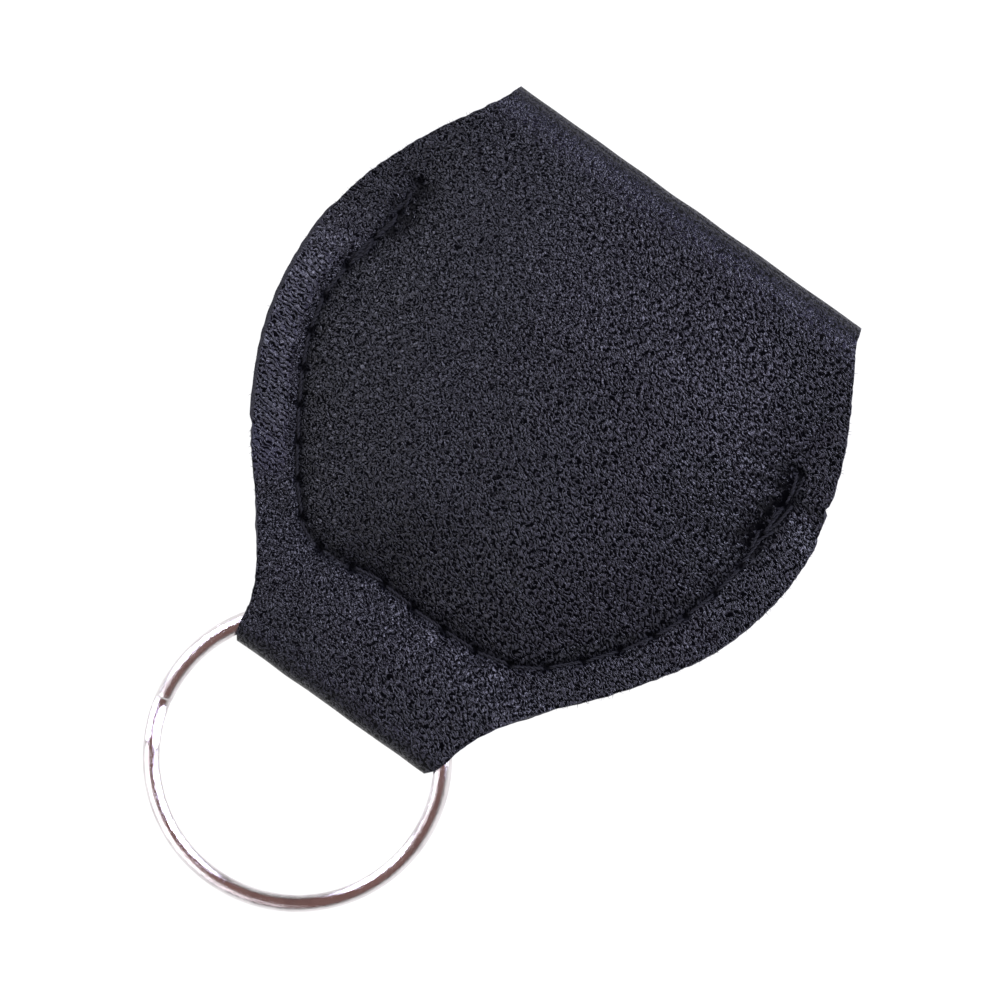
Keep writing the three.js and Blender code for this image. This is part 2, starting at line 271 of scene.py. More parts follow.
class Shader:
    """A material's node tree, built from typed nodes and socket arithmetic."""

    def __init__(self, name: str) -> None:
        """Starts an empty material with one Principled shader."""
        self.material = bpy.data.materials.new(name)
        self.material.use_nodes = True
        self.tree = self.material.node_tree
        self.tree.nodes.clear()
        self.surface = self.tree.nodes.new("ShaderNodeBsdfPrincipled")
        self.output = self.tree.nodes.new("ShaderNodeOutputMaterial")
        self.tree.links.new(self.surface.outputs[0], self.output.inputs["Surface"])

    def node(
        self, kind: str, settings: dict[str, Any], inputs: dict[Any, Any], output: Any = 0
    ) -> Sock:
        """Adds a node, sets it and feeds it.

        Args:
            kind: The node's Blender type.
            settings: Properties of the node, set before its sockets are touched.
            inputs: Values or sockets for its inputs, by name or number.
            output: Which output to return, by name or number.

        Returns:
            The chosen output, ready for arithmetic.
        """
        made = self.tree.nodes.new(kind)
        for key, value in settings.items():
            setattr(made, key, value)
        self.feed(made, inputs)
        return Sock(self, made.outputs[output])

    def feed(self, node: bpy.types.Node, inputs: dict[Any, Any]) -> None:
        """Links sockets into a node's inputs, or sets them to plain values.

        Args:
            node: The node.
            inputs: Values or sockets, by name or number.
        """
        for key, value in inputs.items():
            if isinstance(value, Sock):
                self.tree.links.new(value.socket, node.inputs[key])
            else:
                node.inputs[key].default_value = value

    def solid_place(self) -> Sock:
        """Where a point lies in the piece, in metres."""
        return self.node("ShaderNodeTexCoord", {}, {}, "Object")

    def mix_colour(self, share: Any, first: Any, second: Any) -> Sock:
        """Blends two colours, which may be plain values or sockets."""
        settings = {"data_type": "RGBA"}
        return self.node("ShaderNodeMix", settings, {0: share, 6: first, 7: second}, 2)

    def vector(self, operation: str, first: Any, second: Any) -> Sock:
        """One Vector Math node on two vectors."""
        return self.node("ShaderNodeVectorMath", {"operation": operation}, {0: first, 1: second})

    def turned(self, place: Sock, heading: float) -> Sock:
        """A place on the flat seen from axes turned to a heading, in radians."""
        return self.node("ShaderNodeMapping", {"vector_type": "POINT"},
                         {"Vector": place, "Rotation": (0.0, 0.0, -heading)})

    def highest(self, first: Sock, second: Sock) -> Sock:
        """The greater of two values."""
        return self.node("ShaderNodeMath", {"operation": "MAXIMUM"}, {0: first, 1: second})

    def bell(self, value: Sock, width: float) -> Sock:
        """A bell of height 1 where the value is 0, falling to 1/e at width from it."""
        scaled = value * (1.0 / width)
        return self.node("ShaderNodeMath", {"operation": "POWER"},
                         {0: 1.0 / math.e, 1: scaled * scaled})

    def noise(self, place: Sock, scale: float, detail: float, space: Space = Space.FLAT,
              roughness: float = 0.5, output: Any = 0) -> Sock:
        """Cloudy noise.

        Args:
            place: Where it is read.
            scale: Clouds in one unit of that place.
            detail: How many finer layers it has.
            space: Flat or solid.
            roughness: How strong the finer layers are.
            output: Which output to return, by name or number.

        Returns:
            The noise, about 0.5 on average.
        """
        inputs = {"Vector": place, "Scale": scale, "Detail": detail, "Roughness": roughness}
        return self.node("ShaderNodeTexNoise", {"noise_dimensions": space.value}, inputs, output)

    def bump(self, height: Sock, distance: float, under: Sock | None = None) -> Sock:
        """A Bump node that turns a height into a normal, laid over another where one is given.

        Args:
            height: The height, from 0 to about 1.
            distance: What 1 stands for, in metres.
            under: The normal that it is laid over.

        Returns:
            The normal.
        """
        inputs = {"Strength": 1.0, "Distance": distance, "Height": height}
        if under is not None:
            inputs["Normal"] = under
        return self.node("ShaderNodeBump", {}, inputs)

    def shade(self, share: Any, kind: str, inputs: dict[Any, Any]) -> None:
        """Lays another shader over the surface.

        Args:
            share: How much of the other shader shows, from 0 to 1.
            kind: Its Blender type.
            inputs: Its plain inputs.
        """
        other = self.node(kind, {}, inputs)
        under = Sock(self, self.surface.outputs[0])
        mixed = self.node("ShaderNodeMixShader", {}, {0: share, 1: under, 2: other})
        self.tree.links.new(mixed.socket, self.output.inputs["Surface"])

    def finish(self, inputs: dict[str, Any]) -> bpy.types.Material:
        """Feeds the Principled shader and gives the material."""
        self.feed(self.surface, inputs)
        return self.material


def rgba(red: float, green: float, blue: float) -> Colour:
    """An opaque colour."""
    return (red, green, blue, 1.0)


# ---- Finishes ---------------------------------------------------------------------------------

BLANK_UV = "blank"  # where a point lies on the flat blank
UV_MM = 100.0  # one unit of that map, in millimetres
WIRE_UV = "wire"  # along the wire and round it
SEAM_PLACE = "seam_place"  # how far inside the seam and along it, and how taut the skin is
WAVE_PERIOD = math.pi / 10.0  # of the wave texture at a scale of 1


@dataclass(frozen=True)
class Marks:
    """Where the skin is bent, taut, pierced and grooved, each from 0 to 1."""

    bent: Sock
    taut: Sock
    hole: Sock
    groove: Sock


@dataclass(frozen=True)
class GrainLeather:
    """Black synthetic leather with a fine worm-like grain under a thin, even gloss.

    Lengths are in millimetres, and headings in radians from the blank's width.
    """

    stitch: float
    seam_length: float
    pebble: float = 0.190
    worm: float = 0.182
    furrow: float = 0.41
    warp: float = 0.6
    heading: float = -0.47
    furrow_heading: float = -0.05
    crossing_heading: float = -0.16
    relief: float = 0.074
    pore_relief: float = 0.10
    lean_reach: float = 14.0
    bent_inside: tuple[float, float] = (-1.6, -0.7)
    bent_starts: tuple[float, float] = (4.0, 17.0)
    bent_ends: tuple[float, float] = (30.0, 33.0)
    right_tack: tuple[float, float] = (10.5, 9.0)  # before the seam's end
    left_tack: tuple[float, float] = (5.0, 7.0)
    valleys: tuple[float, float] = (0.28, 0.60)
    crests: tuple[float, float] = (0.64, 0.94)
    hole_across: float = 0.26
    hole_along: float = 0.42
    groove_width: float = 0.42
    roughness: float = 0.27
    ground: Colour = rgba(0.0020, 0.0021, 0.0038)
    # painted highlight: the bent stretch of the left rim leans towards the lights, and its ground
    # is painted paler for it
    bent_rim_highlight: Colour = rgba(0.0180, 0.0182, 0.0260)
    # painted sheen: the skin drawn taut near the two folds is painted paler and bluer
    taut_sheen: Colour = rgba(0.0052, 0.0050, 0.0120)
    # painted highlight: the crests of the grain are painted paler, as if they caught the light
    crest_highlight: Colour = rgba(0.0190, 0.0190, 0.0230)
    # painted shade: near black in the valleys of the grain
    valley_shade: Colour = rgba(0.0008, 0.0008, 0.0011)
    # painted shade: near black in the needle holes and the torn holes by the back-tacks
    hole: Colour = rgba(0.0004, 0.0004, 0.0005)
    shadow: Colour = rgba(0.0007, 0.0007, 0.0010)

    def material(self) -> bpy.types.Material:
        """The grain side's material."""
        s = Shader("leather_grain")
        uv = s.node("ShaderNodeUVMap", {"uv_map": BLANK_UV}, {})
        flat = s.vector("MULTIPLY", uv, (UV_MM, UV_MM, 0.0))
        inside, along, taut = self._seam_place(s)
        marks = self._marks(s, flat, inside, along, taut)
        ridges = self._ridges(s, flat, marks.bent)
        # 1 in the valleys of the grain, which painted shade darkens
        valley_shade = 1.0 - ridges.smooth(*self.valleys)
        worn = s.noise(flat, 0.16, 3.0).smooth(0.35, 0.75)
        gloss_lost = valley_shade * 0.06 - worn * 0.05 + marks.hole * 0.4 + marks.groove * 0.12
        # painted shade: a dark matt shader is laid over the valleys of the grain, the needle holes
        # and the seam's groove, less over the valleys where the skin is taut
        sewn_shade = s.highest(marks.hole, marks.groove * 0.45)
        s.shade(s.highest(valley_shade * (0.97 - taut * 0.50), sewn_shade),
                "ShaderNodeBsdfDiffuse", {"Color": self.shadow})
        return s.finish({
            "Base Color": self._colour(s, ridges, valley_shade, marks),
            "Roughness": self.roughness + gloss_lost,
            "Specular IOR Level": 0.24,
            "Normal": self._normal(s, flat, ridges, self._gathers(s, inside, along), marks),
        })

    def _marks(self, s: Shader, flat: Sock, inside: Sock, along: Sock, taut: Sock) -> Marks:
        """What bending and sewing did to the skin; the left rim is the bent part.

        Args:
            s: The shader.
            flat: Where on the flat blank, in millimetres.
            inside: Distance inside the seam.
            along: Distance along the seam.
            taut: How taut the skin is, from 0 to 1.

        Returns:
            The marks.
        """
        stretch = along.smooth(*self.bent_starts) * (1.0 - along.smooth(*self.bent_ends))
        bent = (1.0 - inside.smooth(*self.bent_inside)) * stretch
        hole = s.highest(self._holes(s, inside, along), self._snags(s, flat, inside, along))
        groove = s.bell(inside, self.groove_width) * self._sewn(along)
        return Marks(bent, taut, hole, groove)

    def _ridges(self, s: Shader, flat: Sock, bent: Sock) -> Sock:
        """Pebbles that turn into worms from left to right, and furrows where the skin is bent.

        Args:
            s: The shader.
            flat: Where on the flat blank, in millimetres.
            bent: How bent the skin is, from 0 to 1.

        Returns:
            1 on the crests and 0 in the valleys.
        """
        warp = s.noise(flat, 1.5, 2.0, output="Color")
        shift = s.vector("MULTIPLY", s.vector("SUBTRACT", warp, (0.5, 0.5, 0.5)),
                         (self.warp, self.warp, 0.0))
        place = s.vector("ADD", flat, shift)
        across = s.node("ShaderNodeSeparateXYZ", {}, {0: flat}, 0)
        lean = across.smooth(-self.lean_reach, self.lean_reach)
        pebbles = self._cells(s, place) * (0.6 - lean * 0.42)
        worms = self._worms(s, place, self.heading, 0.46) * (0.4 + lean * 0.42)
        crossing = self._worms(s, place, self.crossing_heading, 0.5)
        furrows = self._furrows(s, place) * 0.55 + crossing * 0.45
        return (pebbles + worms) * (1.0 - bent) + furrows * bent

    def _colour(self, s: Shader, ridges: Sock, valley_shade: Sock, marks: Marks) -> Sock:
        """Near black; painted highlights on the crests and bent rim, painted sheen where taut,
        painted shade in valleys and holes.

        Args:
            s: The shader.
            ridges: The grain, 1 on its crests.
            valley_shade: 1 between the ridges, 0 on them.
            marks: What bending and sewing did to the skin.

        Returns:
            The colour.
        """
        # painted highlight on the bent stretch of the left rim
        colour = s.mix_colour(marks.bent, self.ground, self.bent_rim_highlight)
        # painted highlight on the crests of the grain
        colour = s.mix_colour(ridges.smooth(*self.crests), colour, self.crest_highlight)
        # painted sheen where the skin is taut near the folds
        colour = s.mix_colour(marks.taut * 0.8, colour, self.taut_sheen)
        # painted shade in the valleys of the grain
        colour = s.mix_colour(valley_shade, colour, self.valley_shade)
        # painted shade in the needle holes and torn holes
        return s.mix_colour(marks.hole, colour, self.hole)

    def _normal(self, s: Shader, flat: Sock, ridges: Sock, gathers: Sock, marks: Marks) -> Sock:
        """The grain's relief, weaker where the skin is taut, over the dents of the seam.

        Args:
            s: The shader.
            flat: Where on the flat blank, in millimetres.
            ridges: The grain, 1 on its crests.
            gathers: The gathers beside the seam.
            marks: What bending and sewing did to the skin.

        Returns:
            The normal.
        """
        dents = gathers * 0.12 - marks.groove * 0.08 - marks.hole * 0.45
        pores = s.noise(flat, 7.0, 1.0)
        height = (ridges + pores * self.pore_relief) * (1.0 - marks.taut * 0.45)
        kept = (1.0 - marks.hole * 0.8) * (1.0 - marks.groove * 0.35)
        return s.bump(height * kept, self.relief * MM, under=s.bump(dents, 1.0 * MM))

    def _worms(self, s: Shader, place: Sock, heading: float, squeeze: float) -> Sock:
        """Winding ridges, longer along one heading than across it.

        Args:
            s: The shader.
            place: Where on the flat blank, in millimetres.
            heading: The ridges' direction, in radians from the blank's width.
            squeeze: How many ridges lie end to end where one lies across.

        Returns:
            1 on the ridges and 0 between them.
        """
        squeezed = s.vector("MULTIPLY", s.turned(place, heading), (squeeze, 1.0, 1.0))
        return s.noise(squeezed, 1.0 / self.worm, 1.0, roughness=0.45).smooth(0.30, 0.70)

    def _furrows(self, s: Shader, place: Sock) -> Sock:
        """Wavy ridges side by side, all running one way, where the skin is bent over an edge."""
        return s.node("ShaderNodeTexWave", {"wave_type": "BANDS", "bands_direction": "Y"},
                      {"Vector": s.turned(place, self.furrow_heading),
                       "Scale": WAVE_PERIOD / self.furrow, "Distortion": 6.5,
                       "Detail": 2.0, "Detail Scale": 2.2, "Detail Roughness": 0.5}, "Fac")

    def _cells(self, s: Shader, place: Sock) -> Sock:
        """Rounded pebbles: 1 on their crowns, 0 in the valleys between them.

        Args:
            s: The shader.
            place: Where on the flat blank, in millimetres.

        Returns:
            The pebbles.
        """
        settings = {"voronoi_dimensions": Space.FLAT.value, "feature": "SMOOTH_F1"}
        inputs = {"Vector": place, "Scale": 1.0 / self.pebble, "Smoothness": 0.35,
                  "Randomness": 0.95}
        away = s.node("ShaderNodeTexVoronoi", settings, inputs)
        return 1.0 - away.smooth(0.0, 0.80)

    @staticmethod
    def _seam_place(s: Shader) -> tuple[Sock, Sock, Sock]:
        """Distances inside the seam and along it, in millimetres, and tautness from 0 to 1.

        Args:
            s: The shader.

        Returns:
            The two distances and the tautness.
        """
        place = s.node("ShaderNodeAttribute", {"attribute_name": SEAM_PLACE}, {}, "Vector")
        inside = s.node("ShaderNodeSeparateXYZ", {}, {0: place}, 0)
        split = inside.socket.node
        return inside, Sock(s, split.outputs[1]), Sock(s, split.outputs[2])

    def _holes(self, s: Shader, inside: Sock, along: Sock) -> Sock:
        """1 in the needle holes, between one stitch and the next.

        Args:
            s: The shader.
            inside: Distance inside the seam.
            along: Distance along the seam.

        Returns:
            The mask.
        """
        beat = s.node("ShaderNodeMath", {"operation": "PINGPONG"},
                      {0: along, 1: self.stitch / 2.0})
        hole = s.bell(inside, self.hole_across) * s.bell(beat, self.hole_along)
        return hole * self._sewn(along)

    def _snags(self, s: Shader, flat: Sock, inside: Sock, along: Sock) -> Sock:
        """Torn and crowded needle holes where the seam is sewn over twice at its ends.

        Args:
            s: The shader.
            flat: Where on the flat blank, in millimetres.
            inside: Distance inside the seam.
            along: Distance along the seam.

        Returns:
            A mask of them, from 0 to about 1.
        """
        torn = s.noise(flat, 1.15, 2.0).smooth(0.41, 0.55)
        end = self.seam_length
        right = along.smooth(end - self.right_tack[0], end - self.right_tack[1])
        left = 0.6 * (1.0 - along.smooth(*self.left_tack)) * along.smooth(-1.0, 0.5)
        before_end = 1.0 - along.smooth(end - 0.5, end + 0.6)
        return torn * s.bell(inside - 0.45, 1.4) * (right + left) * before_end

    def _sewn(self, along: Sock) -> Sock:
        """1 from one end of the seam to the other, 0 past them."""
        past = along.smooth(self.seam_length - 0.1, self.seam_length + 0.6)
        return along.smooth(-0.6, 0.1) * (1.0 - past)

    def _gathers(self, s: Shader, inside: Sock, along: Sock) -> Sock:
        """Fine gathers square to the seam, strongest beside it.

        Args:
            s: The shader.
            inside: Distance inside the seam.
            along: Distance along the seam.

        Returns:
            Their height, about 0 on average.
        """
        place = s.node("ShaderNodeCombineXYZ", {}, {0: along * 0.95, 1: inside * 0.22, 2: 0.0})
        near = inside.smooth(-2.2, 0.4) * (1.0 - inside.smooth(1.0, 8.0))
        return (s.noise(place, 1.0, 2.0) - 0.5) * near


@dataclass(frozen=True)
class Backing:
    """The knitted cloth that the leather is laid on, seen inside the folds."""

    loops_across: float = 1.7  # in a millimetre
    loops_along: float = 2.3
    # painted shade in the hollows of the knit; the paler fluff is the cloth's own tone
    hollow_shade: Colour = rgba(0.012, 0.012, 0.014)
    fluff: Colour = rgba(0.040, 0.040, 0.045)

    def material(self) -> bpy.types.Material:
        """Dark matt cloth with a fine knit."""
        s = Shader("leather_backing")
        uv = s.node("ShaderNodeUVMap", {"uv_map": BLANK_UV}, {})
        loops = (UV_MM * self.loops_across, UV_MM * self.loops_along, 0.0)
        place = s.vector("MULTIPLY", uv, loops)
        knit = s.node("ShaderNodeTexVoronoi",
                      {"voronoi_dimensions": Space.FLAT.value, "feature": "F1"},
                      {"Vector": place, "Scale": 1.0, "Randomness": 0.35})
        fluff = s.noise(place, 3.0, 4.0)
        return s.finish({
            # the fluff's own paler tone over painted shade in the hollows
            "Base Color": s.mix_colour(fluff.smooth(0.3, 0.75), self.hollow_shade, self.fluff),
            "Roughness": 0.92,
            "Specular IOR Level": 0.2,
            "Normal": s.bump(fluff * 0.5 - knit, 0.10 * MM),
        })


@dataclass(frozen=True)
class CutEdge:
    """The raw edge of the blank: a dark core with paler fibres in it."""

    core: Colour = rgba(0.010, 0.010, 0.013)
    fibres: Colour = rgba(0.075, 0.075, 0.085)

    def material(self) -> bpy.types.Material:
        """Fibrous dark grey."""
        s = Shader("leather_cut_edge")
        fibre = s.noise(s.solid_place(), 6000.0, 3.0, Space.SOLID)
        return s.finish({
            "Base Color": s.mix_colour(fibre.smooth(0.45, 0.8), self.core, self.fibres),
            "Roughness": 0.85,
            "Specular IOR Level": 0.25,
            "Normal": s.bump(fibre, 0.12 * MM),
        })


@dataclass(frozen=True)
class SewingThread:
    """Twisted black polyester thread."""

    shaded: Colour = rgba(0.0010, 0.0010, 0.0014)
    lustre: Colour = rgba(0.0055, 0.0055, 0.0080)

    def material(self) -> bpy.types.Material:
        """Dark thread with a faint lustre along its fibres."""
        s = Shader("black_thread")
        fibre = s.noise(s.solid_place(), 9000.0, 2.0, Space.SOLID)
        return s.finish({
            "Base Color": s.mix_colour(fibre, self.shaded, self.lustre),
            "Roughness": 0.52 + fibre * 0.2,
            "Specular IOR Level": 0.18,
            "Normal": s.bump(fibre, 0.04 * MM),
        })


@dataclass(frozen=True)
class PolishedNickel:
    """Nickel plate on spring wire, with fine rubbing marks round the ring."""

    bright: Colour = rgba(0.80, 0.76, 0.76)
    cloudy: Colour = rgba(0.62, 0.58, 0.58)
    drawing: tuple[float, float, float] = (120.0, 60.0, 0.0)

    def material(self) -> bpy.types.Material:
        """Bright metal, a little cloudy in places."""
        s = Shader("polished_nickel")
        wire = s.node("ShaderNodeUVMap", {"uv_map": WIRE_UV}, {})
        drawn = s.vector("MULTIPLY", wire, self.drawing)
        streaks = s.noise(drawn, 1.0, 4.0, roughness=0.65)
        cloud = s.noise(s.solid_place(), 420.0, 4.0, Space.SOLID)
        return s.finish({
            "Base Color": s.mix_colour(cloud.smooth(0.35, 0.8), self.bright, self.cloudy),
            "Metallic": 1.0,
            "Roughness": 0.02 + cloud.smooth(0.45, 0.8) * 0.08 + streaks * 0.05,
            "Normal": s.bump(streaks, 0.020 * MM),
        })


@dataclass(frozen=True)
class Finishes:
    """Every finish of the holder, made once."""

    grain: bpy.types.Material
    backing: bpy.types.Material = field(default_factory=lambda: Backing().material())
    edge: bpy.types.Material = field(default_factory=lambda: CutEdge().material())
    thread: bpy.types.Material = field(default_factory=lambda: SewingThread().material())
    nickel: bpy.types.Material = field(default_factory=lambda: PolishedNickel().material())


# ---- The frame --------------------------------------------------------------------------------


@dataclass(frozen=True)
class Frame:
    """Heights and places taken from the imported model, in millimetres."""

    neck_edge: float = field(default_factory=lambda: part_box("neck_loop")[0].y / MM)
    top_edge: float = field(default_factory=lambda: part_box("top_roll")[1].y / MM)
    back_bottom: float = field(default_factory=lambda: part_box("back_panel")[0].z / MM)
    leather: float = field(default_factory=lambda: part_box("flap")[1].z / MM)
    crown_top: float = field(default_factory=lambda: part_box("front_panel")[1].z / MM)
    neck_top: float = field(default_factory=lambda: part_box("neck_loop")[1].z / MM)
    neck_bottom: float = field(default_factory=lambda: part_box("neck_loop")[0].z / MM)
    fold_top: float = 5.6

    @property
    def length(self) -> float:
        """Neck fold to top fold."""
        return self.top_edge - self.neck_edge

    @property
    def middle(self) -> float:
        """Height of the plane where the two lobes meet."""
        return (self.neck_top + self.neck_bottom) / 2.0

    @property
    def rim_top(self) -> float:
        """Height of the front's flat rim."""
        return 2.0 * self.middle - self.back_bottom

    @property
    def roll_radius(self) -> float:
        """Outer radius of the top fold."""
        return self.fold_top / 2.0

    @property
    def roll_y(self) -> float:
        """Axis of the top fold, from the neck fold."""
        return self.length - self.roll_radius

    def place(self, points: Array) -> Array:
        """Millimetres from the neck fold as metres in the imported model's frame."""
        return (np.asarray(points, float) + np.array([0.0, self.neck_edge, 0.0])) * MM

    def joint(self, name: str) -> Vector:
        """A joint's place, in metres."""
        return Vector(next(j["pos_m"] for j in frame["joints"] if j["name"] == name))


def make_object(name: str, mesh: bpy.types.Mesh) -> bpy.types.Object:
    """Links a new object with the given mesh into the scene.

    Args:
        name: The object's name.
        mesh: The mesh.

    Returns:
        The object.
    """
    made = bpy.data.objects.new(name, mesh)
    bpy.context.scene.collection.objects.link(made)
    return made


# ---- The seam ---------------------------------------------------------------------------------


COARSE = 3  # the seam is searched at every third of its points first
CHUNK = 4000  # points measured against the seam at once
NEAREST_SQUARED = 1e-4  # keeps the pull of the seam's nearest point finite, in square millimetres


@dataclass(frozen=True)
class SeamPlace:
    """Where points lie against the seam.

    Attributes:
        inside: Distance inside the seam, negative on the rim.
        along: How far along it the nearest place is.
        soft: Distance inside it, smoothed so that it has no ridges; 0 on the rim.
    """

    inside: Array
    along: Array
    soft: Array


@dataclass(frozen=True)
class Seam:
    """The U-shaped seam: its line, its stitch length and distances from it."""

    stitch: float = 3.55
    step: float = 0.2  # between the points of its line
    overrun: float = 30.0  # how far it is followed past each end
    ridge: tuple[float, float] = (0.6, 2.5)  # where the smoothed distance takes over
    points: Rows = (
        (-22.5, 46.3), (-22.4, 42.5), (-22.9, 38.8), (-23.6, 35.0), (-23.5, 31.5),
        (-22.6, 28.0), (-21.2, 24.9), (-19.4, 21.9), (-16.9, 18.0), (-14.2, 14.6),
        (-11.8, 12.4), (-8.1, 11.9), (-3.8, 12.7), (1.6, 12.4), (6.2, 12.5), (10.5, 13.1),
        (12.7, 13.9), (16.3, 16.9), (20.0, 21.5), (22.0, 25.2), (23.5, 29.9), (24.2, 34.0),
        (24.1, 38.5), (24.4, 41.5), (23.6, 44.7),
    )

    def line(self) -> Array:
        """Evenly spaced points along the seam."""
        return curve_through(np.array(self.points), self.step)

    def measure(self, x: Array, y: Array) -> SeamPlace:
        """Where points lie against the seam, which is taken to run straight on past its ends.

        Args:
            x: Across the pouch.
            y: Up the pouch.

        Returns:
            The points' places.
        """
        line = self.line()
        onward = np.array([0.0, self.overrun])
        line = respaced(np.vstack([line[0] + onward, line, line[-1] + onward]), self.step)
        along = lengths_along(line) - self.overrun
        flat = np.column_stack([np.ravel(x), np.ravel(y)])
        nearest = np.empty(len(flat), int)
        spread = np.empty(len(flat))
        coarse = line[::COARSE]
        around = np.arange(-COARSE, COARSE + 1)
        for start in range(0, len(flat), CHUNK):
            rows = slice(start, start + CHUNK)
            part = flat[rows]
            away = ((part[:, None, :] - coarse[None, :, :]) ** 2).sum(axis=2)
            spread[rows] = (COARSE * self.step / (away + NEAREST_SQUARED) ** 1.5).sum(axis=1)
            close = np.clip(away.argmin(axis=1)[:, None] * COARSE + around, 0, len(line) - 1)
            away = ((part[:, None, :] - line[close]) ** 2).sum(axis=2)
            nearest[rows] = close[np.arange(len(part)), away.argmin(axis=1)]
        offset = flat - line[nearest]
        heading = headings(line)[nearest]
        side = heading[:, 0] * offset[:, 1] - heading[:, 1] * offset[:, 0]
        reached = along[nearest] + (heading * offset).sum(axis=1)
        far = smooth_step(side, *self.ridge)
        soft = side * (1.0 - far) + (spread / 2.0) ** -0.5 * far
        soft = np.where(side > 0.0, soft, 0.0)
        shape = np.shape(x)
        return SeamPlace(side.reshape(shape), reached.reshape(shape), soft.reshape(shape))

    def length(self) -> float:
        """Length of the sewn line."""
        return float(lengths_along(self.line())[-1])

    def count(self) -> int:
        """Number of whole stitches in the seam."""
        return int(self.length() / self.stitch)

    def pitch(self) -> float:
        """Length of one stitch, so that they fill the seam."""
        return self.length() / self.count()


# ---- The leather blank --------------------------------------------------------------------------


class Face(Enum):
    """Material slots of a leather piece."""

    GRAIN = 0
    BACKING = 1
    EDGE = 2


@dataclass(frozen=True)
class Outline:
    """The cut outline of the blank, as half-widths to the left and right."""

    rows: Rows = (
        (0, 11.3, 10.9), (1, 11.8, 11.6), (4, 12.4, 12.35), (8, 14.45, 14.25),
        (12, 17.45, 17.2), (16, 20.85, 20.65), (20, 23.4, 23.5), (25, 25.95, 26.55),
        (30, 27.45, 28.3), (35, 28.05, 29.1), (39, 28.1, 28.95), (43, 27.4, 28.05),
        (47, 26.0, 26.7), (51, 24.2, 24.8), (55, 21.9, 22.5), (58, 20.35, 20.8),
        (59.5, 19.9, 20.4),
    )
    ragged: Ripple = Ripple(0.028, 1.3, 11)
    right_edge: float = 50.0  # where the raggedness of the right edge is read
    nick_y: float = 43.0
    nick: float = 0.42
    nick_width: float = 0.45

    def across(self, y: Array, share: Array, slack: float = 0.0) -> Array:
        """Where a share of the width lies at a height.

        Args:
            y: Heights, from the neck fold.
            share: Share of the width, from 0 at the left edge to 1.
            slack: How far each side lies outside the outline; the nick is only cut where it is 0.

        Returns:
            Places across the pouch.
        """
        left = -smooth_through(self.rows, 1)(y) - self.ragged.at(y, 0.0) - slack
        right = smooth_through(self.rows, 2)(y) + self.ragged.at(y, self.right_edge) + slack
        if slack == 0.0:
            right = right - self.nick * hump(y, self.nick_y, self.nick_width)
        return left + (right - left) * share


@dataclass(frozen=True)
class Dent:
    """A shape of bell section: its height, negative where it is sunk, and its half-width."""

    height: float
    width: float

    def at(self, away: Array, centre: float = 0.0) -> Array:
        """Its height at a distance from its middle."""
        return self.height * hump(away, centre, self.width)


